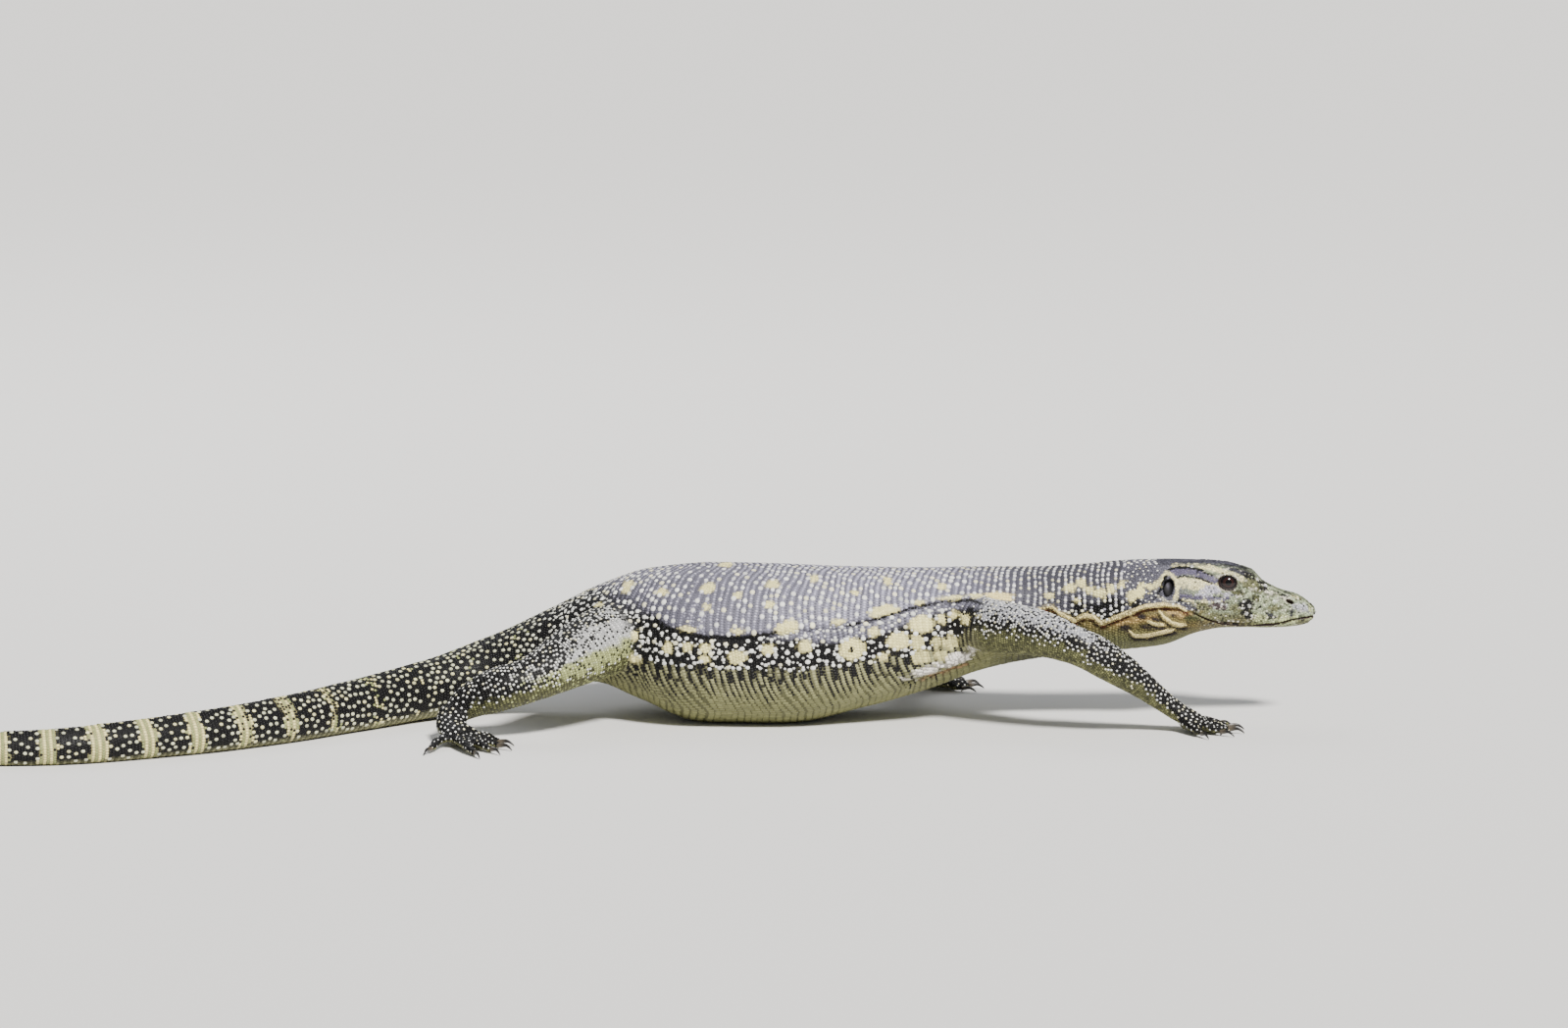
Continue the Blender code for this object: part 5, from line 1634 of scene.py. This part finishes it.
height = np.where(kinds == 4, height * growth["foldHeight"], height)
sizes = np.column_stack([width, length, height])

# each coat piece has its own unwrap of the skin: along the body or limb, and around it
turnShare = (np.sign(place["offset"]) * place["girth"] + 1) / 2
pieceOf = np.full(len(sites), -1)
coatPieces = []


def addCoat(name, chosen, slotName, flatness):
    chosen = np.flatnonzero(chosen & (pieceOf < 0))
    pieceOf[chosen] = len(coatPieces)
    if isLimb[chosen].mean() > 0.5:
        paths = [limb["path"] for limb in limbs.values()]
        near = [(paths[place["which"][k]], place["at"][k] / place["end"][k]) for k in chosen]
        centre = np.array([path[min(int(share * 59), 59)] for path, share in near])
        gap = sites[chosen] - centre
        around = np.arctan2(gap[:, 2], gap[:, 1]) / math.tau + 0.5
        reach = place["at"][chosen] + np.linalg.norm(gap[:, :2], axis=1) * 0.3
    else:
        around, reach = turnShare[chosen], place["along"][chosen]
    reach = (reach - reach.min()) / max(np.ptp(reach), 1e-6)
    root = np.column_stack([0.01 + 0.98 * reach, 0.01 + 0.98 * around, np.zeros(len(chosen))])
    flat, broad = flatness(chosen), scute[chosen]
    dotted = large[chosen] & ~flat & ~broad
    looks = {"bead": ~flat & ~broad & ~dotted, "dot": dotted, "plate": flat & ~broad, "scute": broad}
    meshes = []
    for label, pick in looks.items():
        if pick.any():
            c = chosen[pick]
            shape = scaleShapes[label]
            finish = headPaint if slotName == "hide_head" else scalePaint
            meshes.append(coatPiece(name, shape, finish, sites[c], turns[c], sizes[c], tint[c], root[pick]))
    piece = joinMeshes(name, meshes)
    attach(piece, "root")
    coatPieces.append(piece)
    print(name, len(chosen), "scales,", len(piece.data.polygons), "faces")
    return piece


# rings of radius, height and lean, then the tip's height and lean, corners and squareness
scaleRings = {
    "bead": ([(0.50, -0.35, 0.0), (0.40, 0.55, 0.03)], (1.0, 0.10), 6, 2.0),
    "dot": ([(0.50, -0.35, 0.0), (0.42, 0.55, 0.02)], (1.0, 0.06), 9, 2.0),
    "plate": ([(0.52, -0.35, 0.0), (0.42, 0.75, 0.0)], (0.95, 0.06), 6, 3.0),
    "scute": ([(0.50, -0.35, 0.0), (0.43, 0.80, 0.0)], (0.95, 0.10), 8, 5.0),
}
scaleShapes = {label: scaleShape(label, *values) for label, values in scaleRings.items()}


def flatOf(chosen):
    return bellyFlat[chosen] | (kinds[chosen] == 3)


def headFlat(chosen):
    return (place["girth"][chosen] < 0.13) | (kinds[chosen] == 3)


torso = ~isLimb
addCoat("scalesHead", torso & (place["along"] < alongOf["nape"] + 0.004), "hide_head", headFlat)
# the other pieces of the body, each up to a place named in the body's line
cuts = [("scalesNeck", "shoulder", "hide_body"), ("scalesChest", "ribs", "hide_body")]
cuts += [("scalesBelly", "flank", "hide_body"), ("scalesLoin", "vent", "hide_body")]
cuts += [("scalesTail", "tailMiddle", "hide_tail")]
for label, end, slotName in cuts:
    addCoat(label, torso & (place["along"] < alongOf[end]), slotName, flatOf)
addCoat("scalesTailTip", torso, "hide_tail", flatOf)
for number, name in enumerate(limbs):
    kind, side = name.split("_")
    label = "scales" + kind.capitalize() + side.capitalize()
    addCoat(label, isLimb & (place["which"] == number), "hide_limb", flatOf)
for shape in scaleShapes.values():
    bpy.data.objects.remove(shape)


def tintPaint(name, roughness, shine, coat):
    # plain finish coloured by the mesh's own tint
    paint, shader = newPaint(name)
    tree = paint.node_tree
    tree.links.new(attributeNode(tree, "tint", "Color"), shader.inputs["Base Color"])
    shader.inputs["Roughness"].default_value = roughness
    shader.inputs["Coat Weight"].default_value = coat
    shader.inputs["Coat Roughness"].default_value = 0.04
    shader.inputs["Specular IOR Level"].default_value = shine
    return paint


def placeFine(name, mesh, paint):
    # a smooth piece that takes the place of the solid of its name
    shadeSmooth(mesh)
    mesh.materials.clear()
    mesh.materials.append(paint)
    piece = addObject(name, mesh)
    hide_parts(name)
    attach(piece, "root")


def dome(name, centre, axes, radii, settings, colour):
    # closed ball of rings round its first axis, coloured by the angle from it; its middle stands out
    # by a share of the radius, over so many degrees
    corners, degrees, (rise, spread) = settings["corners"], settings["rings"], settings["rise"]
    points, colours = [], []
    for angle in np.radians(degrees):
        for corner in range(corners):
            turn = corner / corners * math.tau
            across = math.sin(angle) * math.cos(turn), math.sin(angle) * math.sin(turn)
            spot = (math.cos(angle) * (1 + rise * bell(math.degrees(angle), spread)), *across)
            points.append(centre + sum(axes[k] * spot[k] * radii[k] for k in range(3)))
            colours.append(colour(angle, turn))
    faces = [tuple(range(corners))[::-1]] + tubeFaces(len(degrees), corners)
    faces.append(tuple(range(len(points) - corners, len(points))))
    mesh = meshFrom(name, points, faces)
    shape = openShape(mesh)
    bmesh.ops.recalc_face_normals(shape, faces=shape.faces)
    closeShape(shape, mesh)
    setTint(mesh, np.array(colours))
    return mesh


# eyes: brown iris with a thin paler ring round a dark pupil
eyeSettings = {
    "finish": (0.10, 0.25, 0.35), "corners": 40, "rise": (0.035, 26), "size": 0.985,
    "rings": [0.5, 8, 14, 18.8, 19.2, 20.4, 21.3, 21.8, 25, 30, 33.6, 34.4, 42, 55, 70, 90, 110, 130,
              155, 179.5],
}
eyePaint = tintPaint("eyePaint", *eyeSettings["finish"])
irisTones = {"pupil": tone(4, 3, 4), "ring": tone(58, 34, 24)}
irisTones.update({"iris": tone(36, 17, 16), "edge": tone(8, 6, 6)})


def eyeColour(angle, turn):
    degrees = math.degrees(angle)
    streak = 1 + 0.22 * math.sin(turn * 19) * math.sin(turn * 7 + 1)
    if degrees < 19:
        return irisTones["pupil"]
    if degrees < 21.5:
        return irisTones["ring"]
    if degrees < 34:
        return irisTones["iris"] * streak
    return irisTones["edge"]


for side, sign in sideSigns.items():
    low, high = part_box("eye_" + side)
    centre = np.array((low + high) / 2)
    radius = np.array((high - low) / 2)
    aim = unitRows(np.array([(0.10, sign * riseCos, riseSin)]))[0]
    across = unitRows(np.cross([(0, 0, 1.0)], aim))[0]
    # the ball's own size along each of its axes
    axes = [aim, across, np.cross(aim, across)]
    reach = eyeSettings["size"] / np.linalg.norm(np.array(axes) / radius, axis=1)
    ball = dome("eye_" + side, centre, axes, reach, eyeSettings, eyeColour)
    placeFine("eye_" + side, ball, eyePaint)

# ears: a hollowed membrane behind each opening
earSettings = {
    "finish": (0.62, 0.20, 0), "corners": 32, "rise": (-0.9, 38), "size": 1.16, "thickness": 0.0011,
    "depth": 0.0034, "rim": 1.45, "rings": [1, 15, 30, 45, 60, 75, 90, 110, 130, 150, 170, 179],
}
earPaint = tintPaint("earPaint", *earSettings["finish"])
# the drum is mostly black as painted shade of the opening; its grey patch is partly its own grey and partly a
# painted glint
earTones = {"middle": tone(92, 89, 98), "rim": tone(7, 6, 8)}


def earColour(angle, turn):
    low, across = math.sin(angle) * math.cos(turn), math.sin(angle) * math.sin(turn)
    share = math.exp(-((low - 0.30) / 0.30) ** 2 - (across / 0.26) ** 2)
    return mix(earTones["rim"], earTones["middle"], share)


for side, sign in sideSigns.items():
    rim = []
    tilt = math.radians(earSpot["tilt"])
    for turn in np.arange(16) / 16 * math.tau:
        wide, tall = (earSettings["rim"] * half for half in earSpot["half"])
        a, b = wide * math.cos(turn), tall * math.sin(turn)
        u = earSpot["at"][0] + a * math.cos(tilt) - b * math.sin(tilt)
        v = earSpot["at"][1] + a * math.sin(tilt) + b * math.cos(tilt)
        hit = photoSpot(u, v, side)[0]
        if hit is not None:
            rim.append(hit)
    rim = np.array(rim)
    centre = rim.mean(0)
    outward = np.linalg.svd(rim - centre)[2][2]
    outward *= np.sign(outward[1] * sign)
    upright = np.array((-0.21, 0, 0.98))
    upright -= outward * (upright @ outward)
    upright /= np.linalg.norm(upright)
    axes = [outward, upright, np.cross(outward, upright)]
    wide, tall = (half * earSettings["size"] / photo["pixelsPerMetre"] for half in earSpot["half"])
    halves = (earSettings["thickness"], tall, wide)
    inside = centre - outward * earSettings["depth"]
    drum = dome("eardrum_" + side, inside, axes, halves, earSettings, earColour)
    placeFine("eardrum_" + side, drum, earPaint)

# claws: smooth dark horn, paler where it leaves the toe
clawSettings = {
    "finish": (0.34, 0.5, 0), "merge": 2e-5, "floorClear": 0.00012,
    "root": 0.0032,  # how far it reaches back under the skin
    "grow": (1.04, 1.04, 1.06),  # makes up for what rounding takes
}
clawPaint = tintPaint("clawPaint", *clawSettings["finish"])
clawTones = {"base": tone(84, 76, 64), "tip": tone(26, 24, 23)}
for name in sorted(nodes):
    if "_claw_" not in name:
        continue
    paw = name.split("_")[0] + "_" + name.split("_")[-1]
    low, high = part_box(paw)
    mesh = closeShape(openShape(nodes[name].data, clawSettings["merge"]), bpy.data.meshes.new(name))
    points = meshArrays(mesh)[0]
    way = points.mean(0) - np.array((low + high) / 2)
    way[2] = 0
    way /= np.linalg.norm(way)
    share = points @ way
    share = (share - share.min()) / np.ptp(share)
    points -= way * (clawSettings["root"] * clamp(1 - share / 0.15))[:, None]
    setPoints(mesh, points)
    raw = addObject(name + "Raw", mesh)
    level = raw.modifiers.new("round", "SUBSURF")
    level.levels = level.render_levels = 2
    fine = plainMesh(raw)
    bpy.data.objects.remove(raw)
    points = meshArrays(fine)[0]
    middle = points.mean(0)
    points = middle + (points - middle) * clawSettings["grow"]
    points[:, 2] = np.maximum(points[:, 2], clawSettings["floorClear"])
    setPoints(fine, points)
    share = points @ way
    share = (share - share.min()) / np.ptp(share)
    setTint(fine, mix(clawTones["base"], clawTones["tip"], clamp((share - 0.2) / 0.35)[:, None]))
    placeFine(name, fine, clawPaint)
print("eyes, ears and claws placed")

# plain floor, soft light and the photograph's camera
floorSettings = {"colour": (0.80, 0.79, 0.77, 1), "half": 14.0}


def stageFloor():
    h = floorSettings["half"]
    mesh = meshFrom("floor", [(-h, -h, 0), (h, -h, 0), (h, h, 0), (-h, h, 0)], [(0, 1, 2, 3)])
    floor = addObject("floor", mesh)
    paint, shader = newPaint("floorPaint")
    shader.inputs["Base Color"].default_value = floorSettings["colour"]
    shader.inputs["Roughness"].default_value = 0.8
    mesh.materials.append(paint)


def addLight(name, kind, place, aim, power, colour):
    light = bpy.data.lights.new(name, kind)
    light.energy, light.color = power, colour
    lamp = bpy.data.objects.new(name, light)
    bpy.context.scene.collection.objects.link(lamp)
    lamp.location = place
    lamp.rotation_euler = (Vector(aim) - Vector(place)).to_track_quat("-Z", "Y").to_euler()
    return light


def photoCamera():
    settings = {"distance": 8.0, "frameWidth": 1.142, "look": (0.0139, 0.0, 0.149)}
    camera = bpy.data.objects.new("camera", bpy.data.cameras.new("camera"))
    bpy.context.scene.collection.objects.link(camera)
    back = Vector((0, -riseCos, riseSin))
    camera.location = Vector(settings["look"]) + back * settings["distance"]
    camera.rotation_euler = (-back).to_track_quat("-Z", "Y").to_euler()
    camera.data.lens = camera.data.sensor_width * settings["distance"] / settings["frameWidth"]
    camera.data.clip_end = 100
    bpy.context.scene.camera = camera


stageFloor()
key = addLight("key", "SUN", (0.55, -1.0, 1.35), (0, 0, 0), 6.6, (1.0, 0.975, 0.94))
key.angle = math.radians(12)
rim = addLight("rim", "AREA", (-0.6, 1.8, 1.7), (0, 0, 0.05), 16, (0.96, 0.98, 1.0))
rim.shape, rim.size = "DISK", 1.4
world = bpy.data.worlds.new("studio")
bpy.context.scene.world = world
world.use_nodes = True
sky = world.node_tree.nodes["Background"]
sky.inputs["Color"].default_value = (0.92, 0.95, 1.0, 1)
sky.inputs["Strength"].default_value = 0.34
photoCamera()
